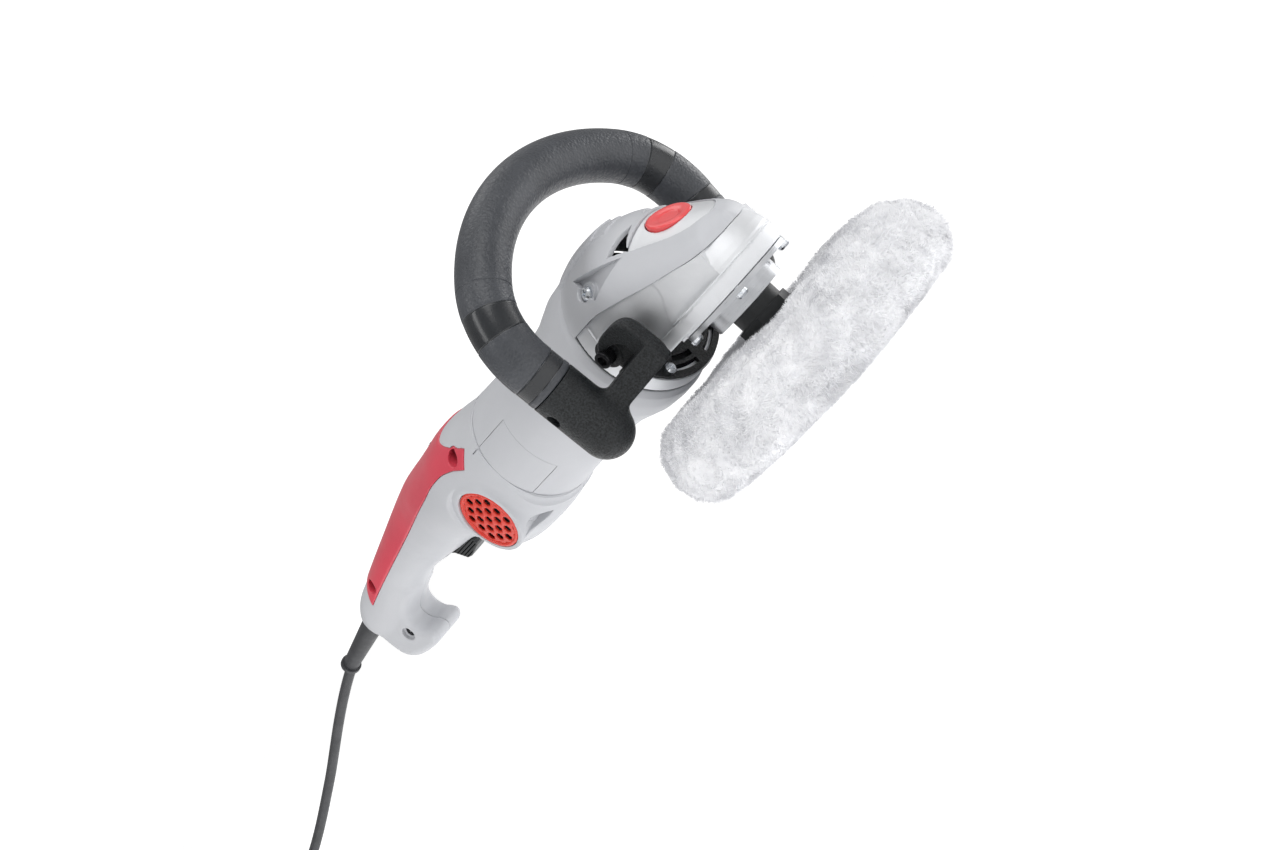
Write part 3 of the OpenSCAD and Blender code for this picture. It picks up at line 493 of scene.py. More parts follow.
def cast_metal():
    """Vibro-finished aluminium casting: soft grain, faint directional polish and tiny pits."""
    m = Paint("cast_metal_paint", Metallic=1.0)
    cloud = m.noise(30, 5, 0.6, twist=0.4)
    grain = m.noise(2200, 3, 0.6)
    streak = m.noise(900, 4, 0.6, where=m.stretched((0.05, 0.05, 1.0)))
    pits = m.cells(260)
    m.tint(m.mix(cloud, 0.7, grain, 0.3), (0.28, (0.66, 0.67, 0.69)), (0.7, (0.8, 0.81, 0.825)))
    m.shine(m.mix(grain, 0.5, cloud, 0.5), (0.3, 0.48), (0.72, 0.64))
    m.bump(grain, 0.00008, 0.7)
    m.bump(streak, 0.00004, 0.4)
    m.bump(m.ramp(pits, (0.0, 0.0), (0.09, 1.0)), 0.00008, 0.35)
    return m.done()


def turned_metal(name, low, high, rough):
    """Machined steel or aluminium with fine turning rings round Z."""
    m = Paint(name, Metallic=1.0)
    rings = m.noise(3200, 3, 0.6, where=m.stretched((0.02, 0.02, 1.0)))
    cloud = m.noise(60, 4, 0.6)
    m.tint(m.mix(cloud, 0.6, rings, 0.4), (0.3, low), (0.7, high))
    m.shine(rings, (0.3, rough[0]), (0.7, rough[1]))
    m.bump(rings, 0.00004, 0.5)
    return m.done()


def zinc():
    m = Paint("zinc_paint", Metallic=1.0)
    patch = m.cells(700)
    m.tint(m.mix(patch, 0.7, m.noise(90, 4), 0.5), (0.25, (0.62, 0.66, 0.72)), (0.8, (0.86, 0.88, 0.9)))
    m.shine(m.noise(500, 4, 0.6), (0.3, 0.16), (0.72, 0.34))
    m.bump(m.noise(1800, 3, 0.6), 0.00003, 0.5)
    return m.done()


def black_oxide():
    m = Paint("black_oxide_paint", Metallic=0.85)
    m.tint(m.noise(400, 5, 0.65), (0.3, (0.02, 0.021, 0.024)), (0.75, (0.065, 0.066, 0.07)))
    m.shine(m.noise(700, 4, 0.6), (0.3, 0.28), (0.72, 0.48))
    m.bump(m.noise(2000, 3, 0.6), 0.00003, 0.5)
    return m.done()


def lamination():
    """Edges of stacked steel sheets."""
    m = Paint("lamination_paint", Metallic=0.8)
    sheets = m.bands("X", 320.0, 0.2)
    m.tint(m.mix(sheets, 0.5, m.noise(90, 4), 0.5), (0.25, (0.12, 0.12, 0.13)), (0.8, (0.36, 0.36, 0.38)))
    m.shine(m.noise(300, 4), (0.3, 0.4), (0.7, 0.6))
    m.bump(sheets, 0.0001, 0.6)
    return m.done()


def winding():
    """Enamelled copper wire, side by side."""
    m = Paint("winding_paint", Metallic=0.9)
    wire = m.bands("Z", 420.0, 0.6)
    m.tint(wire, (0.1, (0.25, 0.08, 0.03)), (0.7, (0.72, 0.32, 0.15)))
    m.shine(m.noise(300, 4), (0.3, 0.28), (0.7, 0.45))
    m.bump(wire, 0.0002, 0.7)
    return m.done()


def brass():
    m = Paint("brass_paint", Metallic=1.0)
    m.tint(m.noise(120, 5, 0.6), (0.3, (0.62, 0.42, 0.16)), (0.72, (0.8, 0.58, 0.26)))
    m.shine(m.noise(420, 4), (0.3, 0.2), (0.7, 0.36))
    m.bump(m.noise(1600, 3), 0.00003, 0.4)
    return m.done()


def carbon():
    m = Paint("carbon_paint", Metallic=0.25)
    m.tint(m.noise(800, 5, 0.7), (0.3, (0.015, 0.015, 0.016)), (0.75, (0.06, 0.06, 0.062)))
    m.shine(m.noise(500, 4), (0.3, 0.45), (0.7, 0.65))
    m.bump(m.noise(1500, 4), 0.00008, 0.6)
    return m.done()


def board():
    """Circuit board with copper tracks under green lacquer."""
    m = Paint("circuit_board_paint", Specular_IOR_Level=0.5)
    tracks = m.cells(260, "DISTANCE_TO_EDGE", random=0.4)
    m.tint(tracks, (0.03, (0.09, 0.19, 0.09)), (0.12, (0.012, 0.075, 0.035)))
    m.shine(m.noise(200, 4), (0.3, 0.25), (0.7, 0.4))
    m.bump(tracks, 0.0001, 0.4)
    return m.done()


def wool():
    """White fleece with a faint painted glow: its emission brightens it beyond the light that falls on it."""
    # The emission here is a painted glow that lifts the fleece's brightness.
    m = Paint("wool_paint", Sheen_Weight=0.3, Sheen_Roughness=0.5, Sheen_Tint=(1.0, 1.0, 1.0, 1.0),
              Specular_IOR_Level=0.1, Roughness=0.95, Emission_Strength=0.045,
              Emission_Color=(0.97, 0.975, 1.0, 1.0))
    lock = m.noise(120, 5, 0.65, twist=0.8)
    m.tint(lock, (0.22, (0.785, 0.79, 0.815)), (0.6, (0.9, 0.902, 0.918)))
    m.bump(m.noise(900, 4, 0.7, twist=1.0), 0.0006, 0.7)
    return m.done()


# Nearly black material for sheets that stand in for shade behind slots and holes: painted shade.
def shade_sheet_material():
    m = Paint("painted_shade_paint", Roughness=0.9)
    m.tint(m.noise(900, 3, 0.6), (0.3, (0.004, 0.004, 0.005)), (0.75, (0.016, 0.016, 0.018)))
    m.bump(m.noise(1300, 3, 0.6), 0.0003, 0.8)
    return m.done()


coarse_black = coarse_plastic()
grip_rubber = leather_rubber()
lead_rubber = cord_rubber()
alloy = cast_metal()
steel = turned_metal("bearing_steel_paint", (0.42, 0.43, 0.45), (0.66, 0.67, 0.69), (0.2, 0.34))
machined = turned_metal("machined_alloy_paint", (0.4, 0.41, 0.43), (0.6, 0.61, 0.63), (0.26, 0.4))
oxide_steel = black_oxide()
shade_sheet_paint = shade_sheet_material()
wool_paint = wool()
finish_of = {
    "cast_aluminium": alloy, "grey_plastic": grey_plastic, "black_plastic": black_plastic,
    "red_plastic": red_plastic, "black_rubber": grip_rubber, "cord_rubber": lead_rubber,
    "zinc_screw": zinc(), "black_oxide_steel": oxide_steel, "bearing_steel": steel,
    "laminated_steel": lamination(), "copper": winding(), "brass": brass(), "carbon": carbon(),
    "circuit_board": board(), "wool": wool_paint,
}
# The fan is given black plastic so that the view through the exhaust slots is dark: painted shade.
finish_at = {"shell_screws": oxide_steel, "bearing_cover": machined, "exhaust_plate": coarse_black,
             "fan": black_plastic}
for name, node in nodes.items():
    for place in node.material_slots:
        place.material = finish_at.get(name, finish_of[place.material.name.split(".")[0]])

# ------------------------------------------------------------------- stage
# Soft boxes stand round the tool in the picture's own up and right, over a
# plain white floor.

scene = bpy.context.scene
scene.view_settings.view_transform = "Standard"
focus = Vector((-0.16, 0.0, 0.095))


def soft_box(name, side, height, front, distance, wide, power, tall):
    """An area light aimed at the tool from a direction given in the picture."""
    way = (right * side + up * height - look * front).normalized()
    lamp = bpy.data.lights.new(name, "AREA")
    lamp.shape = "RECTANGLE"
    lamp.size, lamp.size_y = wide, tall
    lamp.energy = power
    holder = bpy.data.objects.new(name, lamp)
    holder.location = focus + way * distance
    holder.rotation_euler = (-way).to_track_quat("-Z", "Y").to_euler()
    scene.collection.objects.link(holder)


soft_box("key_light", -0.25, 1.0, 0.75, 1.9, 1.6, 14, 1.2)
soft_box("front_fill", 0.9, 0.25, 1.0, 2.2, 1.0, 7, 1.6)
soft_box("left_strip", -1.0, 0.1, 0.5, 1.9, 0.4, 9, 1.8)
soft_box("rim_light", 0.7, 0.8, -0.6, 1.8, 1.2, 8, 0.6)
soft_box("top_glint", -0.5, 0.8, -0.3, 1.8, 0.9, 4, 0.9)

world = bpy.data.worlds.new("studio")
scene.world = world
world.use_nodes = True
sky = world.node_tree
back = sky.nodes["Background"]
back.inputs["Color"].default_value = (1.0, 1.0, 1.0, 1.0)
ray = sky.nodes.new("ShaderNodeLightPath")
level_of = sky.nodes.new("ShaderNodeMapRange")
level_of.inputs["To Min"].default_value = 0.42
level_of.inputs["To Max"].default_value = 1.25
sky.links.new(ray.outputs["Is Camera Ray"], level_of.inputs["Value"])
sky.links.new(level_of.outputs["Result"], back.inputs["Strength"])


def floor_paint():
    m = Paint("floor_paint", Specular_IOR_Level=0.1, Emission_Strength=0.62,
              Emission_Color=(1.0, 1.0, 1.0, 1.0))
    m.tint(m.noise(3, 3, 0.5), (0.3, 0.9), (0.7, 0.93))
    m.shine(m.noise(20, 3), (0.3, 0.75), (0.7, 0.9))
    m.bump(m.noise(180, 3), 0.00004, 0.3)
    return m.done()


corners = [(-9000, -9000, 0), (9000, -9000, 0), (9000, 9000, 0), (-9000, 9000, 0)]
floor = add_mesh("studio_floor", corners, [(0, 1, 2, 3)], floor_paint(), body=None, sharp=None)

# -------------------------------------------------------------------- cord
# The lead leaves the boot, sinks to the floor, is wound into a coil of eight
# turns and ends in the plug. The points are in millimetres.

lead = [(-462, 0, 84.5), (-474, 0, 82.2), (-486, 0, 79.4), (-500, 0, 75.6), (-520, 0, 69.4),
        (-545, 0, 60.8), (-570, 0, 51.6), (-595, 0, 42.4), (-620, -1, 33.4), (-645, -2, 24.6),
        (-668, -3, 17), (-690, -4, 10.6), (-712, -5, 6.2), (-735, -6, 3.8), (-758, -6, 3.5),
        (-780, -6, 3.5)]
tail = [(-847.5, -66, 16), (-849, -79, 12), (-851, -92, 8.2), (-852.5, -104, 7.4),
        (-853, -116, 7.5), (-853, -126, 7.5)]


def wound_coil():
    """Eight and a quarter turns that lie beside and on each other."""
    per_turn, middle, across = 28, (-800, -53), 7.05
    total = int(8.25 * per_turn) + 1
    turn = np.arange(total) / per_turn
    knots = [0, 0.8, 1, 1.8, 2, 2.85, 3, 3.8, 4, 4.8, 5, 5.85, 6.2, 6.8, 7.2, 8.25]
    radii = [47, 47, 40, 40, 33, 33, 33, 33, 40, 40, 47, 47, 40, 40, 47, 47]
    levels = [3.5] * 6 + [10.5] * 6 + [17.5] * 4
    r, z = np.interp(turn, knots, radii), np.interp(turn, knots, levels)
    angle = math.radians(90) + turn * 2 * math.pi
    line = np.stack([middle[0] + r * np.cos(angle), middle[1] + r * np.sin(angle), z], 1)
    far = np.abs(np.subtract.outer(np.arange(total), np.arange(total))) > 6
    for _ in range(160):
        gap = line[:, None] - line[None]
        dist = np.linalg.norm(gap, axis=2) + 1e-9
        push = np.where(far & (dist < across), (across - dist) / dist * 0.3, 0)
        line[3:-3] += (gap * push[:, :, None]).sum(1)[3:-3]
        line[1:-1] += (0.5 * (line[:-2] + line[2:]) - line[1:-1]) * 0.15
        out = line[:, :2] - middle
        size = np.linalg.norm(out, axis=1, keepdims=True)
        line[3:-3, :2] = (middle + out / size * np.clip(size, 33, 47.0))[3:-3]
        line[:, 2] = np.clip(line[:, 2], 3.5, 17.6)
    return line


coil = wound_coil()
route = np.vstack([lead, coil, tail])
cord_curve = bpy.data.curves.new("mains_cord", "CURVE")
cord_curve.dimensions = "3D"
cord_curve.bevel_depth = 0.0035
cord_curve.bevel_resolution = 5
cord_curve.resolution_u = 3
spline = cord_curve.splines.new("POLY")
fine = ease(route, 3)
spline.points.add(len(fine) - 1)
spline.points.foreach_set("co", np.hstack([fine / 1000, np.ones((len(fine), 1))]).ravel())
spline.use_smooth = True
cord_curve.materials.append(lead_rubber)
cord = bpy.data.objects.new("mains_cord", cord_curve)
scene.collection.objects.link(cord)
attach(cord, "root")

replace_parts(cord, "cord", "cord_coil")

# ------------------------------------------------------------- shared shapes

MOTOR_Z = 93.5                  # height of the motor's axis
WALL = 2.6                      # thickness of the plastic shells
BOLT_X = -45.4                  # axis of the D-handle's bolts
SEAM_X = -188                   # seam between the motor housing and the rear shell
DIAL_SLOT = ((-253, 0, 134), (9.2, 2.5, 12), 0.8)
SHELL_PATH = [
    (-188, 130.7, 56.3, 37.2), (-202, 131.4, 54.8, 38.3), (-218, 133.6, 55.0, 39.4),
    (-234, 134.6, 60.0, 39.0), (-250, 133.4, 68.0, 36.2), (-264, 132.4, 75.0, 32.8),
    (-277, 131.8, 79.0, 28.8), (-288, 131.0, 80.0, 25.2), (-300, 129.2, 80.8, 22.2),
    (-318, 125.8, 83.0, 19.4), (-338, 121.6, 85.0, 17.9), (-356, 117.8, 83.5, 17.6),
    (-372, 114.4, 79.0, 17.6), (-390, 110.4, 74.0, 17.4), (-408, 106.0, 74.0, 16.4),
    (-420, 100.0, 78.0, 13.0),
]
BELLY_PATH = [
    (-196, 104, 55.6, 34.0), (-206, 104, 54.0, 35.4), (-218, 104, 52.8, 35.6), (-232, 104, 52.4, 34.0),
    (-245, 103, 54.2, 30.0), (-256, 102, 58.0, 24.5), (-267, 101, 63.5, 17.0), (-276, 100, 70.0, 9.5),
    (-282, 98, 76.0, 4.5),
]
handle_loft = Loft(SHELL_PATH, 2.2)
belly_loft = Loft(BELLY_PATH, 2.2)
HOOK = ease([(-400, 103), (-411, 99), (-417, 93), (-419.4, 86), (-418.6, 78), (-418, 70), (-415.5, 61.5),
             (-410, 56.3), (-400, 53.4), (-390, 52.4), (-380, 52.3), (-375.4, 54.6), (-374.4, 58),
             (-377, 61.6), (-381, 65), (-383, 70.5), (-381, 76.5), (-374, 81.2), (-360, 84.4), (-360, 96)], 3)
HOOK_SCREW = (-391, 69, 12.5)
HOLES = [HOOK_SCREW, (-211, 118, 29), (-378, 104.7, 12)]    # x, z and depth of the shell screws' holes
PANEL = (-187.97, -157.8, 73.6, 111.4)  # x and z range of the brush covers
GRILLE = (-223.2, 38, 81)       # centre of the left grille's face
TURN = math.radians(8.5)        # the grilles face a little to the rear


def motor_radius(x):
    """Radius of the motor housing, which flares towards the gear case."""
    return np.interp(x, (-188, -170, -140, -120, -108, -97, -88, -78, -70, -65),
                     (37.2, 36.7, 36.2, 36.2, 37.6, 40.4, 42.6, 43.3, 43.0, 41.4))


def grille_place(p, side):
    """Places across and up the grille from its axis, and height over its face."""
    dx, dy = p[0] - GRILLE[0], p[1] * side - GRILLE[1]
    across = math.cos(TURN) * dx + math.sin(TURN) * dy
    out = -math.sin(TURN) * dx + math.cos(TURN) * dy
    return across, p[2] - GRILLE[2], out


def rear_skin(p):
    """Outer skin of the rear handle: grip, belly, hook and the bosses round the grilles."""
    main = meet(handle_loft(p), -(p[0] + 421.5), 7.0)
    belly = within(belly_loft(p), p[0] + 194, -282.5 - p[0])
    main = join(main, belly, 6.0)
    soft = np.interp(p[0], (-419, -404, -385), (12.0, 6.5, 4.2))
    hook = rounded(outline(p[0], p[2], HOOK), np.abs(p[1]) - 15.0, soft)
    main = join(main, hook, 3.5)
    u, v, w = grille_place(folded(p), 1)
    ring = np.hypot(u, v)
    boss = rounded(ring - 22.4, np.abs(w + 9) - 9, 1.0)
    main = meet(main, np.minimum(w - 0.1, 50) - np.maximum(ring - 24.5, 0) * 1.2, 1.5)
    return join(main, boss, 4.0)


# -------------------------------------------------------------- rear shells

TIP, TAIL = np.array([-199.6, 20.4, 59.9]), np.array([-216.6, 32.8, 67.6])
LEAF_OUT = (0.0, 0.643, -0.766)
LEAF_AXES = [unit(TAIL - TIP), unit(np.cross(unit(TAIL - TIP), LEAF_OUT)), LEAF_OUT]
OVERLAY_LOW = [(-199.2, 116.9), (-206.9, 109.2), (-215, 113.4), (-224, 116.1), (-232, 116.9), (-244, 116.5),
               (-255, 114.8), (-278, 112.5), (-301, 110), (-339, 105), (-373, 99.7), (-390, 96.6)]
OVERLAY_HIGH = [(-226.5, 142), (-226.4, 134.5), (-224.6, 130.6), (-219.5, 127.2), (-213, 123.7)]
OVERLAY = ([tuple(v) for v in ease(OVERLAY_HIGH, 3)] + [OVERLAY_LOW[0], OVERLAY_LOW[1]]
           + [tuple(v) for v in ease(OVERLAY_LOW[2:], 2)]
           + [(-388.6, 101), (-386.6, 106), (-384, 111), (-382.5, 116), (-382, 142)])


def leaf(p, side, skin):
    """Leaf-shaped scoop under the grille, deep at its front tip."""
    s, t, _ = turned([p[0], p[1] * side, p[2]], (TIP + TAIL) / 2, LEAF_AXES)
    wide = np.abs(t) - 5.2 * (1 - (s / 11.8) ** 2)
    depth = np.interp(s, (-11.2, -4, 11.2), (6.6, 5.4, -0.3))
    return within(wide * 0.75, -skin - depth, 8 - p[1] * side)


def rear_shell(side):
    """Half of the handle's shell, with its pockets, slots and screw posts."""
    def field(p):
        out = p[1] * side
        skin = rear_skin(p)
        scoop = leaf(p, side, skin)
        shell = carve(skin, scoop, 0.9)
        inner = within(skin + WALL, 1.4 - out, 2.2 - scoop)
        shell = carve(shell, inner)
        shell = meet(meet(shell, p[0] + 188.02), 0.12 - out, 0.4)
        u, v, w = grille_place(p, side)
        shell = carve(shell, within(np.hypot(u, v) - 19.85, np.where(out < 20, 100, -20 - w)), 0.5)
        # Pocket under the soft overlay
        edge = outline(p[0], p[2], OVERLAY)
        shell = carve(shell, within(edge - 0.22, -1.15 - skin))
        # Trigger slot, boot bore, dial slot
        shell = carve(shell, block(p, (-301.8, 0, 78), (16.2, 7.9, 20), 0.6), 0.7)
        boot_way = math.radians(97.8)
        boot_end = (-414 - 40 * math.sin(boot_way), 0, 91 + 40 * math.cos(boot_way))
        radius, run = along(p, (-414, 0, 91), boot_end)
        shell = carve(shell, within(radius - 7.9, -run - 2), 0.5)
        shell = carve(shell, block(p, *DIAL_SLOT), 0.5)
        if side > 0:
            shell = carve(shell, within(np.hypot(p[0] + 303, p[2] - 104) - 5.5, 12 - out), 0.6)
        # Groove at the seam with the motor housing, and the slots that run on from the panel
        beside = np.where((np.abs(p[2] - 92.5) < 18.9) & (out > 12), 5, -1)
        shell = carve(shell, within(np.abs(p[0] - SEAM_X) - 0.5, beside, -0.7 - skin), 0.3)
        for z in (PANEL[2], PANEL[3]):
            line = within(np.abs(p[2] - z) - 0.3, np.abs(p[0] + 190) - 4.2, 12 - out)
            shell = carve(shell, within(line, -0.9 - skin))
        for x, z, depth in HOLES:
            r = np.hypot(p[0] - x, p[2] - z)
            in_hook = (x, z, depth) == HOOK_SCREW
            post = meet(within(r - 6.8, 2 - out), skin + 0.2 + (0 if in_hook else 1.1))
            if in_hook:
                bowl = ball(p, (x, side * 18.6, z), 7.6)
                shell = carve(join(shell, post, 0.5), within(bowl, r - 4.6), 0.7)
            else:
                shell = carve(join(shell, post, 0.5), within(r - 5.3, depth - 6.5 - out), 0.4)
            shell = carve(shell, within(r - 1.9, 1 - out, out - 10.5))
        return shell
    return field


pair("rear_shell_skin", rear_shell, (-423, -1, 51), (-186.5, 45, 137), 0.8, grey_plastic, "rear_shell")

# ------------------------------------------------------------- grip overlays


def grip_overlay(side):
    """Red cap over the top of the handle."""
    def field(p):
        out = p[1] * side
        skin = rear_skin(p)
        layer = meet(skin - 0.75, outline(p[0], p[2], OVERLAY), 1.5)
        layer = within(layer, -0.95 - skin)
        layer = meet(layer, 0.12 - out, 0.3)
        layer = carve(layer, block(p, *DIAL_SLOT), 0.6)
        for x, z, depth in HOLES[1:]:
            r = np.hypot(p[0] - x, p[2] - z)
            liner = within(r - 5.0, depth - 6.2 - out, skin - 0.2)
            layer = join(layer, liner)
            layer = carve(layer, within(r - 4.1, depth - 5.0 - out), 0.7)
            layer = carve(layer, within(r - 1.9, 1 - out))
        return layer
    return field


pair("grip_overlay_skin", grip_overlay, (-394, 0, 92), (-196, 42, 137), 0.66, red_plastic, "grip_overlay")


def deep_screws(p):
    """Dark screws at the bottom of the shell's holes."""
    every = None
    for x, z, depth in HOLES:
        seat = 10.2 if (x, z, depth) == HOOK_SCREW else depth - 5.0
        u, v, w = p[0] - x, p[2] - z, -p[1] - seat
        r = np.hypot(u, v)
        head = meet(r - 3.4, np.abs(w - 1.0) - 1.0, 0.6)
        slots = np.minimum(within(np.abs(u) - 0.5, np.abs(v) - 2.0), within(np.abs(v) - 0.5, np.abs(u) - 2.0))
        screw = join(carve(head, within(slots, 0.6 - w)), within(r - 1.6, np.abs(w + 6) - 6.5))
        every = screw if every is None else np.minimum(every, screw)
    return every


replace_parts(solid("shell_screws_black", deep_screws, (-396, -30, 64), (-206, 4, 123), 0.36, oxide_steel),
            "shell_screws")

# ------------------------------------------------------------ intake grilles


def intake_grille(side):
    """Round perforated disc with a raised rim."""
    def field(p):
        u, v, w = grille_place(p, side)
        r = np.hypot(u, v)
        lift = w + r * r / 420
        disc = within(r - 19.55, lift - 0.15, -1.7 - w)
        rim = rounded(np.abs(r - 18.55) - 1.0, np.abs(lift + 0.85) - 1.75, 0.6)
        # Six-sided holes in staggered columns
        col = np.round(u / 6.1)
        shift = 3.6 * np.mod(col, 2)
        du, dv = u - col * 6.1, v - (np.round((v - shift) / 7.2) * 7.2 + shift)
        hexed = within(np.abs(du), 0.5 * np.abs(du) + 0.866 * np.abs(dv))
        hole = within(hexed - 2.3 - 0.5 * np.clip(w + 0.6, 0, 1), r - 17.0)
        disc = carve(disc, hole, 0.4)
        return join(disc, rim, 0.3)
    return field


def intake_shade_sheet(side):
    """Nearly black quilted sheet behind the grille: painted shade that makes its holes look dark inside."""
    def field(p):
        u, v, w = grille_place(p, side)
        quilt = 0.3 * np.cos(u * 2.1) * np.cos(v * 2.1)
        return within(np.hypot(u, v) - 19.4, np.abs(w + 4.2) - 0.8 - quilt)
    return field


pair("intake_grille_face", intake_grille, (-245, 32, 60.5), (-201.5, 43.5, 101.5), 0.42, grille_red,
     "intake_grille")
# Sheets standing in for the shade behind the grille holes: painted shade.
pair("intake_shade_sheet", intake_shade_sheet, (-245, 28, 60.5), (-201.5, 38, 101.5), 0.9, shade_sheet_paint)

# ------------------------------------------------------------------ trigger

TRIGGER = [(-294, 92), (-288.4, 88), (-286.7, 79.5), (-287.4, 76.2), (-289.5, 75), (-299.5, 73.2), (-303, 74),
           (-308.3, 81.5), (-316.3, 86.5), (-316.3, 91)]


def trigger_field(p):
    """Trigger lever with cross grooves and a pin hole."""
    face = outline(p[0], p[2], TRIGGER)
    lever = rounded(face, np.abs(p[1]) - 7.4, 1.1)
    ribs = within(np.abs(np.mod(p[2] - 75.6, 1.9) - 0.95) - 0.3, 0.6 + face)
    lever = carve(lever, ribs)
    return carve(lever, np.hypot(p[0] + 294, p[2] - 88) - 1.6)


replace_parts(solid("trigger_lever_body", trigger_field, (-318, -8.5, 71.5), (-284, 8.5, 93), 0.5,
                  black_plastic, "trigger_lever"), "trigger")

# ------------------------------------------------------------- motor housing


def motor_housing(p):
    """Barrel with a window on each side for the brush covers."""
    r = np.hypot(p[1], p[2] - MOTOR_Z)
    inside = np.interp(p[0], (-188, -110, -96, -86, -65), (34.4, 34.4, 37.6, 39.4, 38.8))
    skin = meet(r - motor_radius(p[0]), within(p[0] + 65.05, -188.0 - p[0] + 0.28), 0.6)
    shell = within(skin, inside - r)
    web = within(r - 35, 12.5 - r, np.abs(p[0] + 186) - 1.3)
    shell = join(shell, web, 0.5)
    for angle in (45, 135, 225, 315):
        y, z = 24 * math.sin(math.radians(angle)), MOTOR_Z + 24 * math.cos(math.radians(angle))
        shell = carve(shell, np.hypot(p[1] - y, p[2] - z) - 7.5 + np.where(p[0] > -180, 100, 0))
    x0, x1, z0, z1 = PANEL
    window = block(p, ((x0 + x1) / 2 - 4, 0, (z0 + z1) / 2),
                   ((x1 - x0) / 2 + 4.15, 60, (z1 - z0) / 2 + 0.2), 0.5)
    return carve(shell, within(window, 12 - np.abs(p[1])))


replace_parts(solid("motor_housing_skin", motor_housing, (-189.5, -44.5, 48.5), (-63.5, 44.5, 138.5), 0.95,
                  grey_plastic), "motor_housing")


def brush_cover(side):
    """Plate that fills the motor housing's window."""
    x0, x1, z0, z1 = PANEL

    def field(p):
        r = np.hypot(p[1], p[2] - MOTOR_Z)
        plate = block(p, ((x0 + x1) / 2, side * 34, (z0 + z1) / 2), ((x1 - x0) / 2, 20, (z1 - z0) / 2), 0.35)
        plate = within(plate, 14 - p[1] * side)
        skin = within(r - motor_radius(p[0]), motor_radius(p[0]) - 3.2 - r)
        return meet(plate, skin, 0.35)
    return field


pair("brush_cover_panel", brush_cover, (-189, 26, 72), (-156, 38, 113), 0.7, grey_plastic, "brush_cover")

# ---------------------------------------------------------------- gear head

COVER_PATH = [
    (-64.2, 137.2, 60, 41.2), (-56, 138.6, 62, 40.4), (-44, 138.8, 64, 38.8), (-33, 137.8, 66, 36.9),
    (-20, 133.8, 66, 34.6), (-8, 126.8, 68, 32.4), (4, 119.6, 70, 30.0), (14, 113.6, 72, 27.2),
    (22, 108.8, 74, 23.4), (28, 104.6, 76, 17.6), (31.6, 99.6, 80, 8),
]
cover_loft = Loft(COVER_PATH, 2.1)
LOCK = np.array([6.1, 0.0, 118.0])      # middle of the lock button's top
TILT = math.radians(31)
LOCK_AXES = [(math.cos(TILT), 0, -math.sin(TILT)), (0, 1, 0), (math.sin(TILT), 0, math.cos(TILT))]
FACET = [np.array(v) for v in ((-48.5, 24.9, 131.0), (-13.0, 24.4, 120.6), (-38.0, 34.9, 115.9))]
VENT = [np.array(v) for v in ((-21.4, 23.9, 126), (-10.2, 5.3, 128.3), (-9.6, 22.1, 121.2))]
SCREW_AT = np.array([-42.5, 29.5, 121.0])
SCREW_WAY = np.array([0, math.sin(math.radians(50)), math.cos(math.radians(50))])


def case_height(x):
    """Height of the line where the plastic cover meets the metal case."""
    return np.interp(x, (-80, -48, -42, -35, -24, -13, -2, 8, 16, 23, 31, 60),
                     (111.3, 111.3, 110.8, 109.2, 106.2, 103, 100, 97.5, 95.2, 93.6, 92.2, 92.2))


def deck_window(p):
    """Teardrop opening round the lock button, in the button's own plane."""
    u, v, _ = turned(p, LOCK, LOCK_AXES)
    wide = np.interp(u, (-16.5, -14, 2.4, 10, 16.3, 20.5, 24, 26.4, 27.4),
                     (21.8, 22.4, 19.6, 17.9, 15.6, 12.9, 9.2, 4.6, 0))
    return within((np.abs(v) - wide) * 0.85, -u - 15.2)


def prism(q, points, way):
    """Three-sided prism through the points, running along a direction."""
    walls = []
    for i in range(3):
        start, end, other = points[i], points[(i + 1) % 3], points[(i + 2) % 3]
        n = unit(np.cross(end - start, way))
        n = n if (other - start) @ n < 0 else -n
        walls.append(ahead(q, start, n))
    return within(*walls)


def gear_cover(p):
    """Plastic hood over the gear case."""
    plain = meet(cover_loft(p), p[0] - 31.9, 1.5)
    skin = plain
    q = folded(p)
    side_y = q[1]
    # Raised spine on top with a stepped front end
    spine = np.interp(p[0], (-64, -52, -34, -24), (21, 17, 10.5, 8))
    crest = within(skin - np.where(p[0] < -33.4, 2.0, 0.9), side_y - spine, p[0] + 24.5)
    skin = join(skin, within(crest, 118 - p[2]), 0.5)
    # Three-cornered facet that gets deeper towards the screw
    normal = unit(np.cross(FACET[1] - FACET[0], FACET[2] - FACET[0]))
    normal = normal if normal[1] > 0 else -normal
    above = ahead(q, FACET[0], normal)
    deep = np.interp(p[0], (-48, -36, -14), (4.0, 2.4, 0.2))
    facet = within(prism(q, FACET, normal), -above - deep)
    skin = carve(skin, facet, 0.4)
    radius, depth = along(q, SCREW_AT, SCREW_AT + SCREW_WAY * 10)
    post = within(radius - 6.0, depth - 0.2, -depth - 9)
    whole = within(skin, -within(plain + WALL, 2.0 - facet))
    whole = join(whole, within(post, plain + 0.3), 0.8)
    whole = carve(whole, within(radius - 4.6, -depth), 0.5)
    whole = carve(whole, radius - 2.0)
    # Window for the metal deck, and the two three-cornered vents
    window = deck_window(p)
    lip = within(window - 1.6, plain, -plain - 4.0)
    whole = join(whole, within(lip, -window), 0.5)
    whole = carve(whole, within(window, 100 - p[2]), 0.4)
    vent = prism(q, VENT, unit((0.1, 0.35, 0.93)))
    whole = carve(whole, within(vent, 112 - p[2]), 0.4)
    # Lower edge along the metal
    whole = meet(whole, case_height(p[0]) + 0.15 - p[2], 0.5)
    return meet(whole, -63.9 - p[0], 0.4)


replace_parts(solid("gear_cover_skin", gear_cover, (-65.5, -43.5, 90), (33.5, 43.5, 142.5), 0.62, grey_plastic),
            "gear_cover")


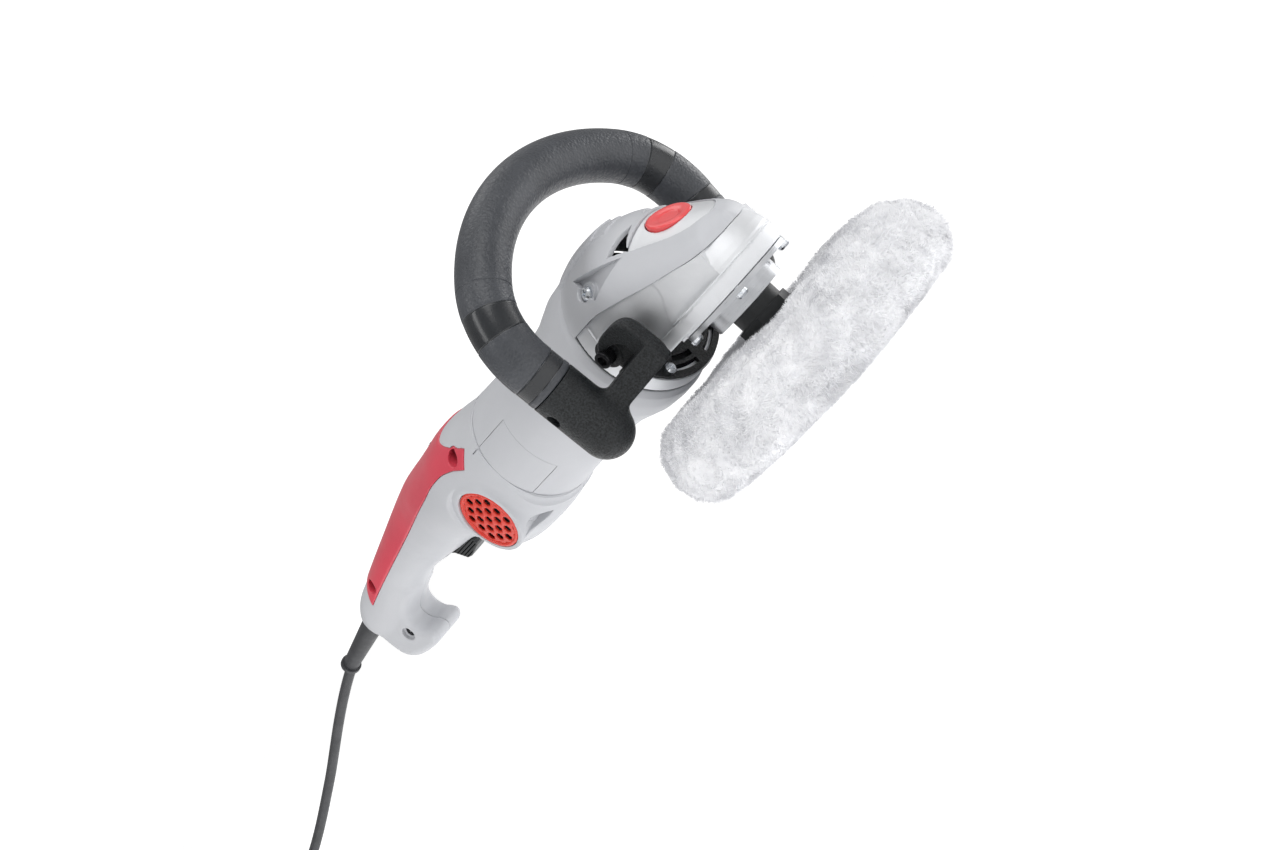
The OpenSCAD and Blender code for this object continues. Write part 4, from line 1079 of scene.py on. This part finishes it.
def gear_case(p):
    """Cast aluminium right-angle housing."""
    r = np.hypot(p[0], p[1])
    side_y = np.abs(p[1])
    # Round nose, cut by the flat flanks that run back to the fan ring
    edge = 24.3
    s = np.clip((edge - p[0]) / 77.6, 0, 1)
    disc = np.sqrt(np.maximum(40.2 ** 2 - (p[2] - MOTOR_Z) ** 2, 1))
    flank_y = (1 - s) * edge + s * disc
    flat = within((side_y - flank_y) * 0.97, 78.2 - p[2])
    nose = outline(r, p[2], [(-5, 79.4), (35.4, 79.4), (35.5, 81.6), (34.4, 85.4), (31.8, 92.4),
                             (31.0, 97), (31, 112), (-5, 112)])
    nose = within(nose, side_y - np.where(p[0] < edge, flank_y, 25.4))
    body = join(nose, within(flat, p[0] - edge, -53.4 - p[0]), 0.5)
    # Flange band under the sides
    tangent = within(side_y - np.interp(p[0], (-52, 4), (36.6, 34.4)), p[0] - 2, -53.3 - p[0])
    flange = outline(r, p[2], [(-5, 69.8), (34.0, 69.8), (34.5, 70.2), (35.5, 77.9), (35.5, 79.6),
                               (-5, 79.6)])
    band = meet(tangent, within(p[2] - 78.6, 71.4 - p[2]), 0.8)
    body = join(body, join(flange, band), 0.9)
    # Fan ring next to the motor
    rr = np.hypot(side_y, p[2] - MOTOR_Z)
    ring = meet(rr - 41.2, within(p[0] + 53.3, -63.9 - p[0]), 0.7)
    body = join(body, within(ring, 35 - rr), 0.5)
    # Bosses for the D-handle bolts
    from_bolt = np.hypot(p[0] - BOLT_X, p[2] - MOTOR_Z)
    body = join(body, within(from_bolt - 9.5, np.abs(side_y - 39.2) - 4.6), 1.6)
    body = carve(body, within(from_bolt - 2.6, 36 - side_y))
    # Lid line under the plastic cover
    body = meet(body, p[2] - case_height(p[0]) + 0.1, 0.3)
    # Deck that carries the lock button
    u, v, w = turned(p, LOCK, LOCK_AXES)
    deck = meet(w + v * v / 84 + 0.55, deck_window(p) + 0.3, 0.9)
    body = join(body, within(deck, 96 - p[2]), 0.3)
    body = carve(body, within(np.hypot(u, v) - 12.75, -w - 7.9), 0.7)
    # Hollows
    body = carve(body, within(r - 26.8, p[2] - 90, 50 - p[2]))
    body = carve(body, within(r - 29.2, p[2] - 77.5, 50 - p[2]))
    body = carve(body, within(rr - 35.2, p[0] + 53.5, -90 - p[0]))
    for x0, x1, rad in ((-58, -44, 9), (-45, -35, 16), (-36, -20, 10.5)):
        body = carve(body, within(rr - rad, x0 - p[0], p[0] - x1))
    body = carve(body, within(r - 6, np.abs(p[2] - 110) - 20))
    for a in (45, 135, 225, 315):
        x, y = 31.6 * math.cos(math.radians(a)), 31.6 * math.sin(math.radians(a))
        ear = within(np.hypot(p[0] - x, p[1] - y) - 5.4, np.abs(p[2] - 74.2) - 4.4)
        body = join(body, ear, 1.0) if a in (135, 225) else body
        body = carve(body, within(np.hypot(p[0] - x, p[1] - y) - 2.1, p[2] - 77))
    # Turned line on the flange
    groove = within(np.abs(p[2] - 78.9) - 0.25, np.abs(r - 35.6) - 0.5)
    return carve(body, within(groove, -p[0] - 30), 0.1)


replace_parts(solid("gear_case_casting", gear_case, (-65, -45.5, 51.5), (37.5, 45.5, 123.5), 0.64, alloy),
            "gear_case")


def exhaust_shade_sheet(p):
    """Nearly black sheet behind the slots of the exhaust plate: painted shade that makes the slots look dark
    inside.
    """
    ring = np.abs(np.hypot(p[1], p[2] - MOTOR_Z) - 27) - 7.4
    return within(ring, np.abs(p[0] + 54.3) - 0.45, p[2] - 71)


# A dark sheet standing in for the shade inside the exhaust slots: painted shade.
solid("exhaust_shade_sheet", exhaust_shade_sheet, (-56, -36, 58), (-53, 36, 73), 0.5, shade_sheet_paint)


def button_field(p):
    """Round button with a dished top, hollow from below."""
    u, v, w = turned(p, LOCK, LOCK_AXES)
    r = np.hypot(u, v)
    top = np.interp(r, (0, 5.2, 6.4, 8.4, 10.4, 11.4, 12.3), (-1.15, -1.0, -0.45, 0.0, 0.15, 0.0, -0.6))
    body = meet(r - 12.25, within((w - top) * 0.9, -3.9 - w), 0.5)
    return carve(body, within(r - 10.4, w + 2.1))


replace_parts(solid("lock_button_cap", button_field, (-8, -13.5, 108), (20, 13.5, 128), 0.38, red_gloss,
                  "spindle_lock"), "lock_button")

# ----------------------------------------------------------------- D-handle

LEG_TOP, LEG_END = np.array([-54.96, 80.36, 103.36]), np.array([-56.63, 76.4, 69.14])
TUBE = 14.25                    # radius of the D-handle's leg and sleeve
ARM = ease([(-46.5, 94), (-45, 98.6), (-41, 101.4), (-34, 102.4), (-26, 101.8), (-20.5, 99.4), (-17.6, 95),
            (-16.6, 88), (-16.1, 77.5), (-18.5, 73.4), (-24, 71.8), (-40, 70.4), (-46.5, 70.4)], 3)
POCKET = [(-70, 84.1), (-28.8, 84.0), (-28.2, 90.2), (-31, 93.6), (-35, 95.6), (-44, 96.4), (-70, 96.4)]


def handle_leg(p):
    """Lower end of the D-handle's tube, with the web and plate that bolt it to the gear case."""
    q = folded(p)
    _, run = along(q, LEG_TOP, LEG_END)
    leg = within(capsule(q, LEG_TOP, LEG_END, TUBE), 0.25 - run)
    web_x = np.interp(q[1], (46, 52, 66, 78), (-31.2, -31.2, -46.4, -56))
    web_w = np.interp(q[1], (46, 52, 66, 78), (15.0, 15.0, 8.4, 9))
    web_z = np.interp(q[1], (46, 52, 78), (77.2, 77.0, 75.2))
    web = rounded(np.abs(q[0] - web_x) - web_w, np.abs(q[2] - web_z) - 6.6, 2.2)
    web = within(web * 0.85, 46 - q[1], q[1] - 77)
    plate = rounded(outline(q[0], q[2], ARM), np.abs(q[1] - 48.2) - 4.2, 1.8)
    from_bolt = np.hypot(q[0] - BOLT_X, q[2] - MOTOR_Z)
    seat = within(from_bolt - 7.8, np.abs(q[1] - 46.1) - 2.1)
    pocket = within(outline(q[0], q[2], POCKET), np.abs(q[1] - 54.9) - 7.0)
    arm = carve(join(plate, join(web, leg, 5.0), 1.5), pocket, 0.8)
    arm = join(arm, within(seat, 43.9 - q[1]), 0.6)
    arm = carve(arm, from_bolt - 2.6 + np.where(q[1] > 56, 50, 0))
    drain = rod(q, (-57.2, 84.5, 91.6), (-62.2, 98.5, 91.6), 3.8, 0.3)
    return carve(arm, drain, 0.7)


right_arm, _ = pair("d_handle_arm", lambda side: handle_leg, (-73, 43, 54), (-15, 96, 105), 0.7, coarse_black)
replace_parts(right_arm, "d_handle_frame")


def socket_bolt(p):
    """Socket-head bolt with a knurled head."""
    q = folded(p)
    u, v = q[0] - BOLT_X, q[2] - MOTOR_Z
    r = np.hypot(u, v)
    knurl = 0.12 * np.cos(36 * np.arctan2(v, u))
    head = meet(r - 4.5 - knurl * (q[1] < 53.6), np.abs(q[1] - 51.4) - 3.3, 0.5)
    a, b = np.abs(u), np.abs(v)
    socket = within(within(a, 0.5 * a + 0.866 * b) - 2.5, 51.6 - q[1])
    head = carve(head, socket, 0.2)
    return join(head, within(r - 2.5, np.abs(q[1] - 43.5) - 5))


right_bolt, _ = pair("socket_bolt", lambda side: socket_bolt, (-51, 38, 88), (-40, 56, 99), 0.32, oxide_steel)
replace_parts(right_bolt, "d_handle_bolts")


def hoop_line():
    """Centre line of the grip in the hoop's plane, from one sleeve end to the other."""
    lean, arc, side_y, rise = math.radians(6.6), 50.0, 32.3, 62.0
    drop = (side_y ** 2 - (rise - arc) ** 2) / (2 * (rise - arc))
    crown, turn = rise + drop, math.atan2(side_y, drop)
    top = (side_y + arc * math.cos(lean), -arc * math.sin(lean))
    half = [(top[0] - s * math.sin(lean), top[1] - s * math.cos(lean)) for s in np.arange(14, 0, -0.5)]
    half += [(side_y + arc * math.cos(a), arc * math.sin(a))
             for a in np.linspace(-lean, math.pi / 2 - turn, 120)[:-1]]
    half += [(crown * math.sin(a), crown * math.cos(a) - drop) for a in np.linspace(turn, 0, 90)]
    half = np.array(half)
    return np.vstack([half, half[-2::-1] * (-1, 1)])


def hoop_grip():
    """Sleeve of the hoop: a swept tube with moulded seams and two smooth bands at each end."""
    line = hoop_line()
    run = distances(line)
    total = run[-1]
    seams = [4, 12, 34, 48, 60]
    seams += [total - v for v in seams]
    stops = set(np.round(np.linspace(0, total, 240), 3))
    for at in seams:
        stops |= {round(at + d, 3) for d in (-0.9, -0.45, -0.15, 0.15, 0.45, 0.9)}
    for rim in (0.3, 0.8, 1.6):
        stops |= {rim, round(total - rim, 3)}
    stops = np.array(sorted(stops))
    y, z = np.interp(stops, run, line[:, 0]), np.interp(stops, run, line[:, 1])
    ty, tz = np.gradient(y, stops), np.gradient(z, stops)
    speed = np.hypot(ty, tz)
    ny, nz = tz / speed, -ty / speed
    flip = np.sign(ny * y + nz * (z + 5))
    ny, nz = ny * flip, nz * flip
    place = np.minimum(stops, total - stops)
    radius = np.full(len(stops), TUBE)
    radius -= 0.14 * ((place > 4) & (place < 12)) + 0.14 * ((place > 34) & (place < 48))
    for at in seams:
        radius -= 0.42 * np.exp(-((stops - at) / 0.22) ** 2)
    radius -= np.interp(place, (0, 0.3, 0.8, 1.6), (0.9, 0.45, 0.12, 0))
    sides = 144
    angle = np.linspace(0, 2 * math.pi, sides, endpoint=False)
    mould = 0.35 * np.exp(-((angle - math.pi + math.radians(66)) / 0.03) ** 2)
    rr = radius[:, None] - mould[None, :]
    # The angle starts at the hoop's front; a quarter turn on lies its outside
    lx, outward = np.cos(angle)[None] * rr, np.sin(angle)[None] * rr
    ly, lz = y[:, None] + ny[:, None] * outward, z[:, None] + nz[:, None] * outward
    tilt = math.radians(2.8)
    wx = -54 + lx * math.cos(tilt) + lz * math.sin(tilt)
    wz = 123 - lx * math.sin(tilt) + lz * math.cos(tilt)
    verts = np.stack([wx, ly, wz], -1).reshape(-1, 3)
    i, k = np.meshgrid(np.arange(len(stops) - 1), np.arange(sides), indexing="ij")
    n = (k + 1) % sides
    quads = np.stack([i * sides + k, i * sides + n, (i + 1) * sides + n, (i + 1) * sides + k], -1)
    faces = [tuple(v) for v in quads.reshape(-1, 4)]
    faces += [tuple(range(sides))[::-1], tuple((len(stops) - 1) * sides + k for k in range(sides))]
    sleeve = add_mesh("hoop_grip_sleeve", verts, faces, grip_rubber, "root", 50.0)
    sleeve.data.materials.append(band_rubber)
    mid = 0.5 * (place[:-1] + place[1:])
    smooth_band = ((mid > 4) & (mid < 12)) | ((mid > 34) & (mid < 48))
    index = np.concatenate([np.repeat(smooth_band, sides), [False, False]]).astype(np.int32)
    sleeve.data.polygons.foreach_set("material_index", index)
    return sleeve


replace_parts(hoop_grip(), "d_handle_grip")

# --------------------------------------------------------------------- wool


def waves(p, scale, seed, count=14):
    """Smooth random relief in space, about -1 to 1."""
    gen = np.random.default_rng(seed)
    total = np.zeros(len(p))
    for _ in range(count):
        way, phase = gen.normal(size=3), gen.uniform(0, 2 * math.pi)
        total += np.cos(p @ (way / scale) + phase)
    return total / math.sqrt(count)


def bonnet_rows():
    """Radius and height round the edge of the bonnet, from the middle below to the middle above."""
    rim = [(77.5 + 13 * math.cos(math.radians(a)), 22.5 + 18 * math.sin(math.radians(a)))
           for a in range(-70, 71, 10)]
    return np.array([(0.01, 0.6), (20, 0.6), (44, 0.6), (62, 0.6), (71, 1.4)] + rim
                    + [(77, 43), (66, 45), (50, 45.2), (36, 45), (27, 44), (24.5, 41), (24, 37.5), (12, 37)])


def bonnet_points(theta, s):
    rows = ease(bonnet_rows(), 6)
    run = distances(rows)
    at = s * run[-1]
    r, z = np.interp(at, run, rows[:, 0]), np.interp(at, run, rows[:, 1])
    tr = np.interp(at + 0.6, run, rows[:, 0]) - np.interp(at - 0.6, run, rows[:, 0])
    tz = np.interp(at + 0.6, run, rows[:, 1]) - np.interp(at - 0.6, run, rows[:, 1])
    length = np.hypot(tr, tz) + 1e-9
    nr, nz = tz / length, -tr / length
    c, d = np.cos(theta), np.sin(theta)
    normal = np.stack([nr * c, nr * d, nz], -1)
    base = np.stack([r * c, r * d, z], -1)
    swell = 1.5 * waves(base, 9.0, 3) + 0.8 * waves(base, 4.0, 4)
    swell *= np.clip(z / 6, 0, 1) * np.clip((r - 20) / 12, 0, 1)
    return base + normal * swell[:, None], normal, r


def wool_core():
    n, m = ((480, 170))
    th, ss = np.meshgrid(np.linspace(0, 2 * math.pi, n, endpoint=False), np.linspace(0, 1, m), indexing="ij")
    pts, _, _ = bonnet_points(th.ravel(), ss.ravel())
    i, k = np.meshgrid(np.arange(n), np.arange(m - 1), indexing="ij")
    j = (i + 1) % n
    quads = np.stack([i * m + k, j * m + k, j * m + k + 1, i * m + k + 1], -1).reshape(-1, 4)
    return add_mesh("wool_core", pts, quads, wool_paint, "spindle_set", None)


def wool_tufts(name, count, seed):
    """Curved tapering blades of fleece, drawn together into locks."""
    gen = np.random.default_rng(seed)
    theta = gen.uniform(0, 2 * math.pi, count)
    s = gen.uniform(0.10, 0.93, count)
    root, normal, r = bonnet_points(theta, s)
    keep = gen.uniform(0, 95, count) < r + 12
    root, normal, theta = root[keep], normal[keep], theta[keep]
    m = len(root)
    lock = np.stack([waves(root, 5.5, 21), waves(root, 5.5, 22), waves(root, 5.5, 23)], -1)
    stray = gen.normal(size=(m, 3))
    swirl = np.stack([-np.sin(theta), np.cos(theta), np.zeros(m)], -1)
    bend = lock * 0.5 + stray * 0.45 + swirl * 0.15 + np.array([0, 0, -0.12])
    bend -= normal * np.sum(bend * normal, 1)[:, None]
    length = gen.uniform(2.6, 5.6, m) * (1 + 0.25 * waves(root, 11.0, 31))
    length *= np.where(root[:, 2] < 3, 0.7, 1.0)
    width = gen.uniform(0.12, 0.26, m)
    across = np.cross(normal, bend + 0.4 * gen.normal(size=(m, 3)))
    across /= np.linalg.norm(across, axis=1, keepdims=True) + 1e-9
    steps = np.array([0.0, 0.36, 0.7, 1.0])
    taper = np.array([1.0, 0.9, 0.6, 0.08])
    rows = []
    for t, w in zip(steps, taper):
        centre = root - normal * 0.6 + normal * (length * t * (1 - 0.30 * t))[:, None] * 0.86
        centre = centre + bend * (length * t * t)[:, None] * 0.62
        centre += np.stack([np.sin(6 * t + lock[:, k] * 4) for k in range(3)], -1) * 0.35 * t
        rows.append(centre - across * (width * w)[:, None])
        rows.append(centre + across * (width * w)[:, None])
    verts = np.stack(rows, 1)
    verts[..., 2] = np.clip(verts[..., 2], 0.15, 49.2)
    base = np.arange(m)[:, None] * 8
    quads = np.concatenate([base + np.array([[2 * k, 2 * k + 1, 2 * k + 3, 2 * k + 2]]) for k in range(3)], 0)
    return add_mesh(name, verts.reshape(-1, 3), quads, wool_paint, "spindle_set", None)


fleece = wool_core()
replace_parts(fleece, "wool_bonnet")
for number in range(3):
    wool_tufts(f"wool_tufts_{number + 1}", 52000, 40 + number)

# -------------------------------------------------------------------- scene update

bpy.context.view_layer.update()
